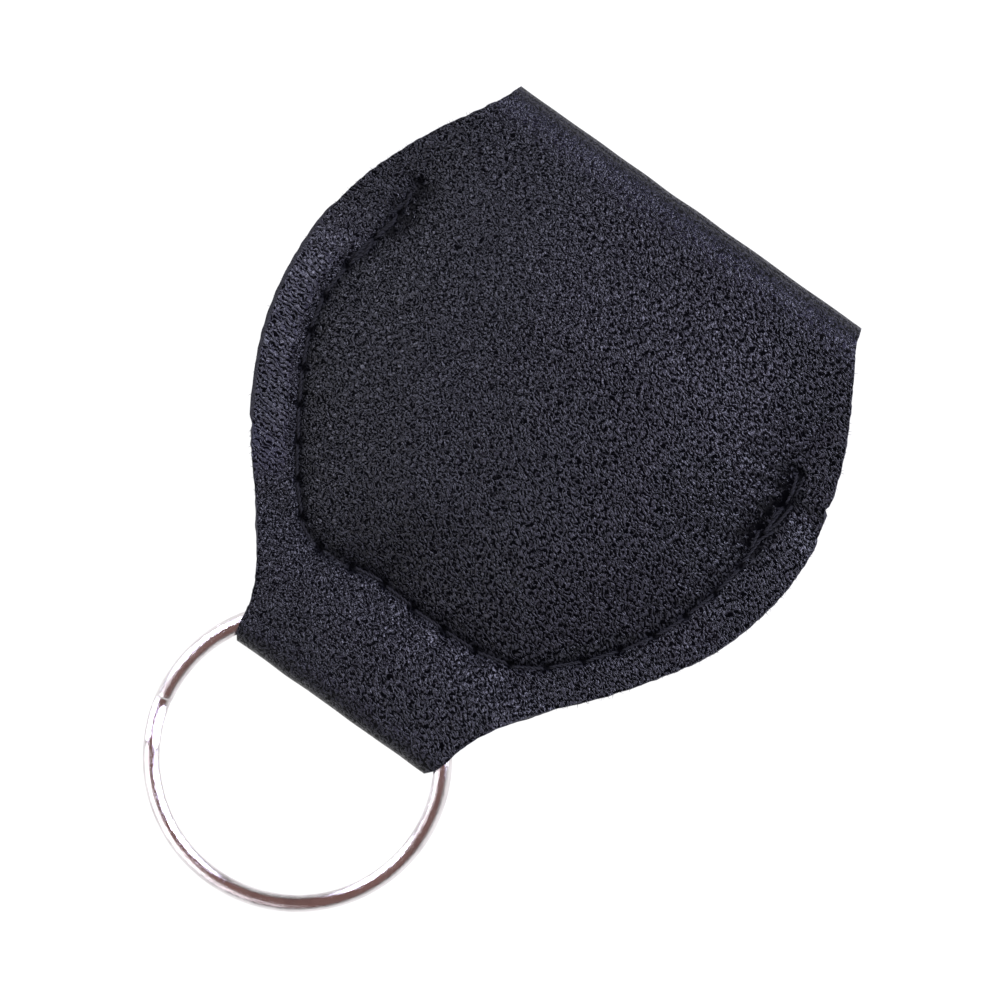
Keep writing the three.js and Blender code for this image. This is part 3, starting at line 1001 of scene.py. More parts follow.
@dataclass(frozen=True)
class SkinRelief:
    """Small shapes that sewing, bending and use press into the skin."""

    seam: Seam
    groove: Dent = Dent(-0.14, 0.60)
    hollow: Dent = Dent(-0.06, 1.9)
    back_groove: Dent = Dent(0.26, 0.6)
    hole: Dent = Dent(-0.20, 0.45)
    hole_sharpness: int = 6
    pucker: Dent = Dent(0.10, 0.85)
    pucker_away: float = 1.15
    gather: Ripple = Ripple(0.066, 1.25, 21)
    dome_waves: Ripple = Ripple(0.10, 13.0, 3)
    rim_waves: Ripple = Ripple(0.030, 4.0, 5)
    rim: float = 6.0  # the widest it can be
    left_droop: float = 0.40
    right_droop: float = 0.26
    ridge: float = 0.06
    ridge_pitch: float = 0.95
    ridge_run: tuple[float, float] = (0.5, 0.86)
    patch_ridges: float = 1.5
    tack_step: float = 0.16
    neck_crease: Dent = Dent(-0.05, 0.16)
    neck_creases: tuple[float, ...] = (1.25, 2.0, 3.05)

    def front(self, x: Array, y: Array) -> Array:
        """Height of every small shape of the front.

        Args:
            x: Across the pouch.
            y: Up the pouch.

        Returns:
            Heights over the plain dome and rim.
        """
        place = self.seam.measure(x, y)
        inside, along = place.inside, place.along
        waves = self.dome_waves.at(x, y) * smooth_step(inside, 1.0, 7.0)
        waves = waves + self.rim_waves.at(x, y) * smooth_step(-inside, 0.0, 2.5)
        seam = self._sewing(inside, along) + self._gathers(x, y, inside, along)
        return seam + waves + self._rim(x, y, inside) + self.droop(x, y, inside)

    def back(self, inside: Array, along: Array) -> Array:
        """The seam's groove in the back lobe."""
        return self.back_groove.at(inside) * smooth_step(along, -0.8, 0.4)

    def droop(self, x: Array, y: Array, inside: Array) -> Array:
        """How far both layers of the rim hang: a long stretch on the left, a patch on the right.

        Args:
            x: Across the pouch.
            y: Up the pouch.
            inside: Distance inside the seam.

        Returns:
            Heights, 0 or less.
        """
        out = np.clip(-inside, 0.0, self.rim)
        left = np.maximum(out - 1.4, 0.0) * self._left_rim(x, y)
        right = np.maximum(out - 0.8, 0.0) * self._right_rim(x) * hump(y, 40.8, 1.7)
        return -self.left_droop * left - self.right_droop * right

    def _sewing(self, inside: Array, along: Array) -> Array:
        """The seam's groove, its needle holes and the puckers between them.

        Args:
            inside: Distance inside the seam.
            along: Distance along the seam.

        Returns:
            Heights.
        """
        end = self.seam.length()
        sewn = smooth_step(along, -0.8, 0.4) * (1.0 - smooth_step(along, end - 0.4, end + 0.8))
        beat = 0.5 + 0.5 * np.cos(along * 2.0 * math.pi / self.seam.pitch())
        groove = self.groove.at(inside) + self.hollow.at(inside)
        holes = self.hole.at(inside) * beat ** self.hole_sharpness
        puckers = self.pucker.at(np.abs(inside), self.pucker_away) * (1.0 - 2.0 * beat)
        return sewn * (groove + holes + puckers)

    def _gathers(self, x: Array, y: Array, inside: Array, along: Array) -> Array:
        """Fine gathers that run in from the seam on the right, and a few on the left.

        Args:
            x: Across the pouch.
            y: Up the pouch.
            inside: Distance inside the seam.
            along: Distance along the seam.

        Returns:
            Heights.
        """
        fan = self.gather.at(along, inside * 0.22)
        near = smooth_step(inside, 0.4, 1.6) * (1.0 - smooth_step(inside, 3.0, 8.5))
        right = smooth_step(x, 4.0, 14.0) * smooth_step(y, 16.0, 24.0)
        left = 0.45 * smooth_step(-x, 10.0, 16.0) * (1.0 - smooth_step(y, 30.0, 44.0))
        return fan * near * (right + left) * (1.0 - smooth_step(y, 43.0, 50.0))

    @staticmethod
    def _left_rim(x: Array, y: Array) -> Array:
        """1 on the bent stretch of the left rim, 0 elsewhere."""
        stretch = smooth_step(y, 16.0, 18.5) * (1.0 - smooth_step(y, 33.0, 46.0))
        return smooth_step(-x, 12.0, 20.0) * stretch

    @staticmethod
    def _right_rim(x: Array) -> Array:
        """1 on the right rim, 0 elsewhere."""
        return smooth_step(x, 18.0, 24.0)

    def _rim(self, x: Array, y: Array, inside: Array) -> Array:
        """The rim's ridges, the step beside the right back-tack and the neck fold's creases.

        Args:
            x: Across the pouch.
            y: Up the pouch.
            inside: Distance inside the seam.

        Returns:
            Heights.
        """
        out = np.clip(-inside, 0.0, self.rim)
        right = self._right_rim(x)
        run = x * self.ridge_run[0] + y * self.ridge_run[1]
        ridges = self.ridge * np.sin(run * 2.0 * math.pi / self.ridge_pitch)
        bent = self._left_rim(x, y) * smooth_step(out, 0.6, 2.0)
        patch = hump(y, 41.0, 1.6) * right * smooth_step(out, 1.4, 2.6)
        step = self.tack_step * smooth_step(y, 42.2, 42.9) * hump(y, 43.2, 2.2)
        creases = sum(self.neck_crease.at(y, place) for place in self.neck_creases)
        ridged = ridges * (self.patch_ridges * patch + bent)
        return ridged + step * right * smooth_step(out, 0.6, 2.4) + creases


@dataclass
class Blank:
    """The leather of the holder as one folded skin, cut into pieces where it bends.

    The skin is a grid: its rows run across the pouch, and go from the pocket's mouth down the
    back, round the neck fold, up the front, round the top fold and down the flap.
    """

    dims: Frame
    relief: SkinRelief
    outline: Outline = Outline()
    columns: int = 177
    row_step: float = 0.31
    back_row_step: float = 0.434
    crown_run: float = 14.5
    crown_fullness: float = 1.7
    rim_pinch: float = 0.13
    join_y: float = 12.4
    level_y: float = 41.3
    mouth_y: float = 47.3
    back_slack: float = 0.10
    corner_drop: float = 4.3
    corner_run: float = 9.0
    corner_x: tuple[float, float] = (20.0, 27.0)
    back_waves: Ripple = Ripple(0.05, 9.0, 8)
    roll_steps: int = 64
    roll_waves: Ripple = Ripple(0.03, 6.0, 31)
    roll_creases: tuple[tuple[float, Dent], ...] = (
        (0.98, Dent(-0.070, 0.07)), (1.22, Dent(-0.042, 0.05)),  # angle round the roll, crease
    )
    flap_tip: float = 24.0
    flap_shoulder: float = 42.0
    flap_half_width: float = 20.1
    flap_steps: int = 40
    flap_turn: float = math.radians(88.0)
    flap_waves: Ripple = Ripple(0.05, 9.0, 41)
    edge_layers: tuple[float, float] = (0.3, 0.7)
    edge_fray: float = 0.09

    def __post_init__(self) -> None:
        """Builds the whole grid and its inner face."""
        self.share = np.linspace(0.0, 1.0, self.columns)
        parts = [self._back_rows(), self._neck_rows(), self._front_rows(), self._roll_rows(),
                 self._flap_rows()]
        ends = np.cumsum([len(part) for part in parts])
        self.back_end, self.neck_end, self.front_end = (int(n) for n in ends[:3])
        self.roll_middle = self.front_end + len(parts[3]) // 2
        self.outer = np.concatenate(parts)
        down = np.gradient(self.outer, axis=0)
        across = np.gradient(self.outer, axis=1)
        self.normal = unit(np.cross(across, down))
        self.inner = self.outer - self.normal * self.dims.leather
        self.along = lengths_along(self.outer[:, self.columns // 2])

    # -- shapes of the skin --

    def _grid(self, y: Array, slack: float = 0.0) -> tuple[Array, Array]:
        """x and y of a grid of rows at the given heights."""
        rows = np.broadcast_to(y[:, None], (len(y), self.columns))
        return self.outline.across(rows, self.share[None, :], slack), rows

    def _front_height(self, x: Array, y: Array) -> Array:
        """Height of the front's plain dome and rim, level again at the roll.

        Args:
            x: Across the pouch.
            y: Up the pouch.

        Returns:
            Heights over the resting surface.
        """
        d = self.dims
        place = self.relief.seam.measure(x, y)
        rise = np.clip(place.soft / self.crown_run, 0.0, 1.0)
        bulge = 1.0 - (1.0 - rise) ** self.crown_fullness
        crown = d.rim_top + (d.crown_top - d.rim_top) * bulge - self._pinch(place.inside)
        level = smooth_step(y, self.level_y, d.roll_y)
        return crown * (1.0 - level) + d.fold_top * level

    def _pinch(self, inside: Array) -> Array:
        """How far the seam draws each lobe towards the other."""
        return self.rim_pinch * (1.0 - smooth_step(inside, 0.0, 2.0))

    def _front_rows(self) -> Array:
        """The front lobe, from just above the neck to the top fold.

        Returns:
            Rows of points.
        """
        count = int((self.dims.roll_y - self.join_y) / self.row_step)
        x, y = self._grid(np.linspace(self.join_y, self.dims.roll_y, count, endpoint=False))
        return np.stack([x, y, self._front_height(x, y) + self.relief.front(x, y)], axis=2)

    def _neck_profile(self) -> Array:
        """Side view of the neck's outer face, as (y, z), from the back round to the front.

        Returns:
            Points of the side view.
        """
        d = self.dims
        low, high = d.back_bottom + self.rim_pinch, d.rim_top - self.rim_pinch
        shape = np.array([
            (self.join_y, low), (11.2, low), (10.0, 1.0), (8.6, 0.36), (7.0, 0.2), (3.0, 0.15),
            (1.3, 0.38), (0.35, 1.2), (0.0, d.middle), (0.35, 4.0), (1.3, 4.82), (3.0, 5.05),
            (7.0, 5.02), (8.6, 4.82), (9.8, 4.42), (11.0, 3.96), (self.join_y, high),
        ])
        return curve_through(shape, self.row_step)

    def _neck_rows(self) -> Array:
        """The neck: down the back, round the ring and up the front to the seam.

        Returns:
            Rows of points, without the two that the lobes already have.
        """
        line = self._neck_profile()
        x, y = self._grid(line[:, 0])
        facing_up = smooth_step(line[:, 1], 1.5, 3.2)[:, None]
        lift = self.relief.front(x, y) * facing_up
        heading = headings(line)
        y = y - lift * heading[:, 1:2]
        z = line[:, 1:2] + lift * heading[:, 0:1]
        return np.stack([x, y, z], axis=2)[1:-1]

    def _back_rows(self) -> Array:
        """The back lobe, from the pocket's mouth down to the neck.

        Returns:
            Rows of points.
        """
        d = self.dims
        count = int((self.mouth_y - self.join_y) / self.back_row_step)
        x, y = self._grid(np.linspace(self.mouth_y, self.join_y, count), self.back_slack)
        corner = smooth_step(np.abs(x), *self.corner_x)
        near_mouth = smooth_step(y, self.mouth_y - self.corner_run, self.mouth_y)
        y = y - self.corner_drop * corner * near_mouth
        place = self.relief.seam.measure(x, y)
        z = d.back_bottom + self._pinch(place.inside) + self.back_waves.at(x, y)
        z = z + self.relief.back(place.inside, place.along)
        z = z + self.relief.droop(x, y, place.inside)
        return np.stack([x, y, z], axis=2)

    def _roll_rows(self) -> Array:
        """The rolled top fold.

        Returns:
            Rows of points.
        """
        d = self.dims
        radius = d.roll_radius
        angles = np.linspace(0.0, math.pi, self.roll_steps, endpoint=False)
        y = d.roll_y + radius * np.sin(angles)
        x, rows = self._grid(np.where(angles < math.pi / 2, y, d.length))
        fade = (1.0 - smooth_step(angles, 0.0, 1.2))[:, None]
        out = radius + self.relief.front(x, np.full_like(rows, d.roll_y)) * fade
        out = out + self.roll_waves.at(x, angles[:, None] * radius)
        for place, crease in self.roll_creases:
            out = out + crease.at(angles, place)[:, None]
        y = d.roll_y + out * np.sin(angles)[:, None]
        z = radius + out * np.cos(angles)[:, None]
        return np.stack([x, y, z], axis=2)

    def _flap_rows(self) -> Array:
        """The flap: straight sides and a half-round end, lying flat.

        Returns:
            Rows of points.
        """
        d = self.dims
        shoulder, tip = self.flap_shoulder, self.flap_tip
        straight = np.linspace(d.roll_y, shoulder, self.flap_steps, endpoint=False)
        turn = np.linspace(0.0, self.flap_turn, self.flap_steps)
        y = np.concatenate([straight, shoulder - (shoulder - tip) * np.sin(turn)])
        half = np.concatenate([np.ones_like(straight), np.cos(turn)]) * self.flap_half_width
        root = smooth_step(y, shoulder, d.roll_y)[:, None]
        x_free = half[:, None] * (2.0 * self.share[None, :] - 1.0)
        x_root = self.outline.across(np.full((len(y), 1), d.length), self.share[None, :])
        x = x_free * (1.0 - root) + x_root * root
        rows = np.broadcast_to(y[:, None], x.shape)
        z = np.abs(self.flap_waves.at(x, rows)) * (1.0 - root)
        return np.stack([x, rows, z], axis=2)

    # -- cutting the skin into pieces --

    def cut(self, name: str, first: int, last: int, finishes: Finishes) -> bpy.types.Object:
        """Cuts rows first to last out of the skin as one closed piece of leather.

        Args:
            name: The piece's name.
            first: Its first row.
            last: Its last row, which it shares with the next piece.
            finishes: Materials for the grain, the backing and the cut edge.

        Returns:
            The piece, with its place in its mesh.
        """
        rows = slice(first, last + 1)
        outer, inner = self.outer[rows], self.inner[rows]
        count, width = outer.shape[:2]
        layer = count * width
        fringe = self._fringe(outer, inner)
        vertices = np.concatenate([outer.reshape(-1, 3), inner.reshape(-1, 3),
                                   fringe.reshape(-1, 3)])
        index = np.arange(layer).reshape(count, width)
        faces, slots = [], []

        def add(quads: Array, slot: Face) -> None:
            """Adds quads of one finish."""
            faces.append(quads)
            slots.append(np.full(len(quads), slot.value))

        add(self._quads(index), Face.GRAIN)
        add(self._quads(index + layer)[:, ::-1], Face.BACKING)
        for side, column in enumerate((0, -1)):
            start = 2 * layer + side * 2 * count
            strip = np.column_stack([
                index[:, column], start + np.arange(count), start + count + np.arange(count),
                index[:, column] + layer,
            ])
            quads = self._quads(strip)
            add(quads if column else quads[:, ::-1], Face.EDGE)
        add(self._quads(np.vstack([index[0] + layer, index[0]])), Face.EDGE)
        add(self._quads(np.vstack([index[-1], index[-1] + layer])), Face.EDGE)
        return self._dress(name, vertices, np.concatenate(faces), np.concatenate(slots),
                           rows, finishes)

    @staticmethod
    def _quads(index: Array) -> Array:
        """Quads over a grid of vertex numbers."""
        return np.stack(
            [index[:-1, :-1], index[:-1, 1:], index[1:, 1:], index[1:, :-1]], axis=-1
        ).reshape(-1, 4)

    def _fringe(self, outer: Array, inner: Array) -> Array:
        """Points part-way through the thickness of both side edges, a little ragged.

        Args:
            outer: Rows of the outer face.
            inner: Rows of the inner face.

        Returns:
            Four lines of points, two for each edge.
        """
        random = np.random.default_rng(len(outer))
        found = []
        for column, side in ((0, -1.0), (-1, 1.0)):
            for share in self.edge_layers:
                points = outer[:, column] * (1 - share) + inner[:, column] * share
                points[:, 0] += side * random.uniform(0.0, self.edge_fray, len(points))
                found.append(points)
        return np.array(found)

    def _dress(self, name: str, vertices: Array, faces: Array, slots: Array, rows: slice,
               finishes: Finishes) -> bpy.types.Object:
        """Turns arrays into an object with finishes, the blank's UV map and even normals.

        Args:
            name: The piece's name.
            vertices: Its points, in millimetres.
            faces: Its quads, as vertex numbers.
            slots: Each quad's finish.
            rows: The rows of the skin that it was cut from.
            finishes: Materials for the grain, the backing and the cut edge.

        Returns:
            The piece.
        """
        mesh = bpy.data.meshes.new(name)
        mesh.from_pydata(self.dims.place(vertices).tolist(), [], faces.tolist())
        for material in (finishes.grain, finishes.backing, finishes.edge):
            mesh.materials.append(material)
        mesh.polygons.foreach_set("material_index", slots.astype(np.int32))
        layer = self.outer[rows].reshape(-1, 3)
        flat = np.column_stack([layer[:, 0], np.repeat(self.along[rows], self.columns)])
        fringe = np.zeros((len(vertices) - 2 * len(flat), 2))
        flat = np.vstack([flat, flat, fringe]) / UV_MM
        loops = faces.ravel()
        uv = mesh.uv_layers.new(name=BLANK_UV)
        uv.data.foreach_set("uv", flat[loops].ravel().astype(np.float32))
        self._mark_seam(mesh, vertices)
        normals = np.zeros((len(vertices), 3))
        facing = self.normal[rows].reshape(-1, 3)
        normals[:len(facing)] = facing
        normals[len(facing):2 * len(facing)] = -facing
        corner = normals[loops]
        corner[np.repeat(slots == Face.EDGE.value, 4)] = 0.0
        mesh.polygons.foreach_set("use_smooth", np.ones(len(faces), bool))
        mesh.normals_split_custom_set(corner.tolist())
        mesh.update()
        return make_object(name, mesh)

    def _mark_seam(self, mesh: bpy.types.Mesh, vertices: Array) -> None:
        """Stores each vertex's place by the seam, and how taut the two folds pull the skin.

        Args:
            mesh: The piece's mesh.
            vertices: Its points.
        """
        place = self.relief.seam.measure(vertices[:, 0], vertices[:, 1])
        y = vertices[:, 1]
        taut = 0.8 * smooth_step(y, 54.5, 58.0) + 0.5 * (1.0 - smooth_step(y, 0.5, 3.5))
        values = np.column_stack([place.inside, place.along, taut])
        mark = mesh.attributes.new(SEAM_PLACE, "FLOAT_VECTOR", "POINT")
        mark.data.foreach_set("vector", values.ravel().astype(np.float32))

    def area(self, first: int, last: int) -> tuple[float, float, float]:
        """Width, length and flat area of a run of rows, in metres.

        Args:
            first: The first row.
            last: The last row.

        Returns:
            The greatest width, the length and the area.
        """
        rows = slice(first, last + 1)
        widths = self.outer[rows, -1, 0] - self.outer[rows, 0, 0]
        along = self.along[rows]
        area = float(np.sum((widths[1:] + widths[:-1]) / 2 * np.diff(along)))
        return float(widths.max()) * MM, float(along[-1] - along[0]) * MM, area * MM * MM


# ---- Small things laid along lines --------------------------------------------------------------


@dataclass
class AlongLine:
    """A Geometry Nodes tree that lays copies of a small piece along a line."""

    name: str
    count: int
    seed: int
    turn: tuple[float, float, float] = (0.0, 0.0, 0.0)
    smallest: float = 1.0
    largest: float = 1.0

    def lay(self, line: Array, copy: bpy.types.Object,
            material: bpy.types.Material) -> bpy.types.Object:
        """Lays the copies and gives them as one plain mesh.

        Args:
            line: Points of the line, in metres.
            copy: The piece to repeat, drawn along +X.
            material: Finish of the result.

        Returns:
            The copies as one object, with its place in its mesh.
        """
        carrier = self._carrier(line)
        modifier = carrier.modifiers.new("along_line", "NODES")
        modifier.node_group = self._tree()
        values = {"Count": self.count, "Copy": copy, "Seed": self.seed, "Turn": self.turn,
                  "Smallest": self.smallest, "Largest": self.largest, "Material": material}
        for item in modifier.node_group.interface.items_tree:
            if item.in_out == "INPUT" and item.name in values:
                modifier[item.identifier] = values[item.name]
        bpy.context.view_layer.update()
        evaluated = carrier.evaluated_get(bpy.context.evaluated_depsgraph_get())
        mesh = bpy.data.meshes.new_from_object(evaluated)
        carrier.modifiers.remove(modifier)
        bpy.data.objects.remove(carrier)
        bpy.data.objects.remove(copy)
        mesh.name = self.name
        return make_object(self.name, mesh)

    @staticmethod
    def _carrier(line: Array) -> bpy.types.Object:
        """A mesh of single edges that carries the line.

        Args:
            line: Points of the line, in metres.

        Returns:
            The carrier.
        """
        mesh = bpy.data.meshes.new("line")
        edges = [(i, i + 1) for i in range(len(line) - 1)]
        mesh.from_pydata([tuple(point) for point in line], edges, [])
        return make_object("line", mesh)

    @staticmethod
    def _tree() -> bpy.types.NodeTree:
        """The node tree, with its sizes as named inputs.

        Returns:
            The tree.
        """
        tree = bpy.data.node_groups.new("along_line", "GeometryNodeTree")
        face = tree.interface
        face.new_socket("Geometry", in_out="INPUT", socket_type="NodeSocketGeometry")
        for name, kind in (
            ("Count", "Int"), ("Copy", "Object"), ("Seed", "Int"), ("Turn", "Vector"),
            ("Smallest", "Float"), ("Largest", "Float"), ("Material", "Material"),
        ):
            face.new_socket(name, in_out="INPUT", socket_type="NodeSocket" + kind)
        face.new_socket("Geometry", in_out="OUTPUT", socket_type="NodeSocketGeometry")
        given = tree.nodes.new("NodeGroupInput")
        result = tree.nodes.new("NodeGroupOutput")

        def node(kind: str, settings: dict[str, Any], links: dict[Any, Any]) -> bpy.types.Node:
            """Adds a node and links other nodes' outputs or sets values."""
            made = tree.nodes.new(kind)
            for key, value in settings.items():
                setattr(made, key, value)
            for key, value in links.items():
                if isinstance(value, bpy.types.NodeSocket):
                    tree.links.new(value, made.inputs[key])
                else:
                    made.inputs[key].default_value = value
            return made

        curve = node("GeometryNodeMeshToCurve", {}, {"Mesh": given.outputs["Geometry"]})
        even = node("GeometryNodeResampleCurve", {}, {
            "Curve": curve.outputs[0], "Count": given.outputs["Count"]})
        points = node("GeometryNodeCurveToPoints", {"mode": "EVALUATED"}, {
            "Curve": even.outputs[0]})
        heading = node("FunctionNodeAlignRotationToVector", {"axis": "X", "pivot_axis": "Z"}, {
            "Vector": points.outputs["Tangent"]})
        info = node("GeometryNodeObjectInfo", {}, {"Object": given.outputs["Copy"]})
        scale = node("FunctionNodeRandomValue", {"data_type": "FLOAT"}, {
            2: given.outputs["Smallest"], 3: given.outputs["Largest"],
            "Seed": given.outputs["Seed"]})
        copies = node("GeometryNodeInstanceOnPoints", {}, {
            "Points": points.outputs["Points"], "Instance": info.outputs["Geometry"],
            "Rotation": heading.outputs[0], "Scale": scale.outputs[1]})
        opposite = node("ShaderNodeVectorMath", {"operation": "SCALE"}, {
            0: given.outputs["Turn"], "Scale": -1.0})
        turn = node("FunctionNodeRandomValue", {"data_type": "FLOAT_VECTOR"}, {
            0: opposite.outputs[0], 1: given.outputs["Turn"], "Seed": given.outputs["Seed"]})
        turned = node("GeometryNodeRotateInstances", {}, {
            "Instances": copies.outputs[0], "Rotation": turn.outputs[0]})
        real = node("GeometryNodeRealizeInstances", {}, {"Geometry": turned.outputs[0]})
        dressed = node("GeometryNodeSetMaterial", {}, {
            "Geometry": real.outputs[0], "Material": given.outputs["Material"]})
        tree.links.new(dressed.outputs[0], result.inputs["Geometry"])
        return tree


def tube_faces(rings: int, sides: int) -> Faces:
    """Faces of a closed tube whose vertices are given ring by ring.

    Args:
        rings: Number of rings.
        sides: Vertices in each.

    Returns:
        The sides' quads, then the two caps.
    """
    faces = []
    for ring in range(rings - 1):
        for k in range(sides):
            a, b = ring * sides + k, ring * sides + (k + 1) % sides
            faces.append([a, b, b + sides, a + sides])
    last = (rings - 1) * sides
    faces.append(list(range(sides))[::-1])
    faces.append([last + k for k in range(sides)])
    return faces


def tube(line: Array, radius: Array, sides: int) -> tuple[Array, Faces]:
    """A closed tube round a line.

    Args:
        line: Points of the centreline.
        radius: Radius at each point.
        sides: Number of sides.

    Returns:
        Vertices and faces.
    """
    heading = headings(line)
    across = unit(np.cross((0.0, 0.0, 1.0), heading))[:, None, :]
    up = np.cross(heading, across[:, 0])[:, None, :]
    angles = (np.arange(sides) * 2.0 * math.pi / sides)[None, :, None]
    ring = across * np.cos(angles) + up * np.sin(angles)
    vertices = line[:, None, :] + ring * radius.reshape(-1, 1, 1)
    return vertices.reshape(-1, 3), tube_faces(len(line), sides)


def mesh_object(name: str, parts: Sequence[tuple[Array, Faces]],
                scale: float = MM) -> bpy.types.Object:
    """One smooth object from several shapes.

    Args:
        name: The object's name.
        parts: Vertices and faces of each shape.
        scale: Metres in one unit of the vertices.

    Returns:
        The object, linked into the scene.
    """
    vertices: list[list[float]] = []
    faces: Faces = []
    for points, polygons in parts:
        start = len(vertices)
        vertices += (points * scale).tolist()
        faces += [[start + k for k in polygon] for polygon in polygons]
    mesh = bpy.data.meshes.new(name)
    mesh.from_pydata(vertices, [], faces)
    mesh.polygons.foreach_set("use_smooth", np.ones(len(faces), bool))
    mesh.update()
    return make_object(name, mesh)


# ---- The seam's threads -----------------------------------------------------------------------

LINE_POINTS = 200  # in the line of a row of stitches
RUN_SEED = 4
TACK_SEED = 9  # and one more for each row


@dataclass
class Stitching:
    """The lockstitch seam: twisted stitches on both faces and the back-tacks at its ends."""

    dims: Frame
    seam: Seam
    finishes: Finishes
    ply_radius: float = 0.105
    ply_sides: int = 7
    ply_offset: float = 0.080
    twist: float = 1.05
    points: int = 25
    reach: float = 0.97  # share of the pitch that a stitch spans
    dive: float = 0.75
    dive_sharpness: int = 7
    needle_sink: float = 0.32  # shares of the leather's thickness
    bobbin_sink: float = 0.30
    run_turn: tuple[float, float, float] = (0.25, 0.05, 0.05)
    tack_turn: tuple[float, float, float] = (0.5, 0.14, 0.30)
    tack_start: float = 0.3
    tack_length: float = 9.5
    tack_margin: float = 1.4
    tack_pitch: float = 0.95  # of the seam's, for the first row
    tack_closing: float = 0.09  # less in each row after it
    wander: float = 0.22
    wander_length: float = 3.7
    tacks: Rows = (  # aside, lift, start and stitches of each row
        (0.34, 0.06, 0.9, 3), (-0.26, 0.10, 2.1, 3), (0.72, 0.16, 2.8, 2), (0.10, 0.24, 1.6, 3),
        (-0.52, 0.02, 3.4, 2),
    )

    def _stitch(self, length: float) -> bpy.types.Object:
        """One stitch of two twisted plies, along +X, with both ends diving into their holes.

        Args:
            length: The stitch's pitch.

        Returns:
            The stitch, as a piece to repeat.
        """
        t = np.linspace(-1.0, 1.0, self.points)
        along = t * length / 2.0
        drop = -self.dive * np.abs(t) ** self.dive_sharpness
        radius = np.full(len(t), self.ply_radius)
        parts = []
        for phase in (0.0, math.pi):
            angle = phase + along * 2.0 * math.pi / self.twist
            aside = self.ply_offset * np.cos(angle)
            high = drop + self.ply_offset * np.sin(angle)
            line = np.column_stack([along * self.reach, aside, high])
            parts.append(tube(line, radius, self.ply_sides))
        return mesh_object("stitch", parts)

    def _line(self, start: float, end: float, height: float, aside: float = 0.0,
              wander: float = 0.0) -> Array:
        """Part of the seam's line, in metres, moved aside and set at a height.

        Args:
            start: Where it starts, along the seam.
            end: Where it ends, along the seam.
            height: Its height.
            aside: How far it is moved to its left.
            wander: How far it swings to either side of that.

        Returns:
            The line's points.
        """
        line = self.seam.line()
        along = lengths_along(line)
        heading = headings(line)
        at = np.linspace(start, end, LINE_POINTS)
        swing = aside + wander * np.sin(2.0 * math.pi * (at / self.wander_length + aside))
        x = np.interp(at, along, line[:, 0]) - swing * np.interp(at, along, heading[:, 1])
        y = np.interp(at, along, line[:, 1]) + swing * np.interp(at, along, heading[:, 0])
        return self.dims.place(np.column_stack([x, y, np.full(len(at), height)]))

    def run(self, name: str, height: float, upside_down: bool) -> bpy.types.Object:
        """The seam's own row of stitches on one face.

        Args:
            name: The object's name.
            height: Height of its line.
            upside_down: Whether its stitches dive upwards.

        Returns:
            The stitches.
        """
        pitch = self.seam.pitch()
        copy = self._stitch(pitch)
        if upside_down:
            copy.data.transform(Matrix.Rotation(math.pi, 4, "X"))
        line = self._line(pitch / 2.0, self.seam.length() - pitch / 2.0, height)
        layer = AlongLine(name, self.seam.count(), RUN_SEED, turn=self.run_turn)
        return layer.lay(line, copy, self.finishes.thread)

    def back_tack(self, name: str, at_start: bool, height: float) -> bpy.types.Object:
        """The crowded stitches over one end of the seam.

        Args:
            name: The object's name.
            at_start: Whether it is at the seam's start.
            height: Height of the seam's line.

        Returns:
            The stitches.
        """
        start = self.tack_start if at_start else self.seam.length() - self.tack_length
        end = start + self.tack_length - self.tack_margin
        rows = []
        for number, (aside, lift, shift, count) in enumerate(self.tacks):
            pitch = self.seam.stitch * (self.tack_pitch - self.tack_closing * number)
            line = self._line(start + shift, end, height + lift, aside, self.wander)
            layer = AlongLine(f"{name}_{number}", count, TACK_SEED + number,
                              turn=self.tack_turn, smallest=0.7, largest=1.05)
            rows.append(layer.lay(line, self._stitch(pitch), self.finishes.thread))
        return join(name, rows)

    def build(self) -> list[bpy.types.Object]:
        """Makes the threads and hangs them on the pouch.

        Returns:
            The needle thread and the bobbin thread.
        """
        top = self.dims.rim_top - self.dims.leather * self.needle_sink
        bottom = self.dims.back_bottom + self.dims.leather * self.bobbin_sink
        needle = join("needle_stitches", [
            self.run("needle_run", top, False),
            self.back_tack("left_tack", True, top),
            self.back_tack("right_tack", False, top),
        ])
        bobbin = self.run("bobbin_stitches", bottom, True)
        for piece, node in ((needle, "needle_thread"), (bobbin, "bobbin_thread")):
            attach(piece, Body.POUCH.value)
            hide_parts(node)
        return [needle, bobbin]


def join(name: str, pieces: list[bpy.types.Object]) -> bpy.types.Object:
    """Joins objects of one finish into the first and names it.

    Args:
        name: The object's name.
        pieces: The objects.

    Returns:
        The joined object.
    """
    with bpy.context.temp_override(active_object=pieces[0], selected_editable_objects=pieces,
                                   selected_objects=pieces):
        bpy.ops.object.join()
    pieces[0].name = name
    pieces[0].data.name = name
    return pieces[0]


# ---- The leather pieces -----------------------------------------------------------------------


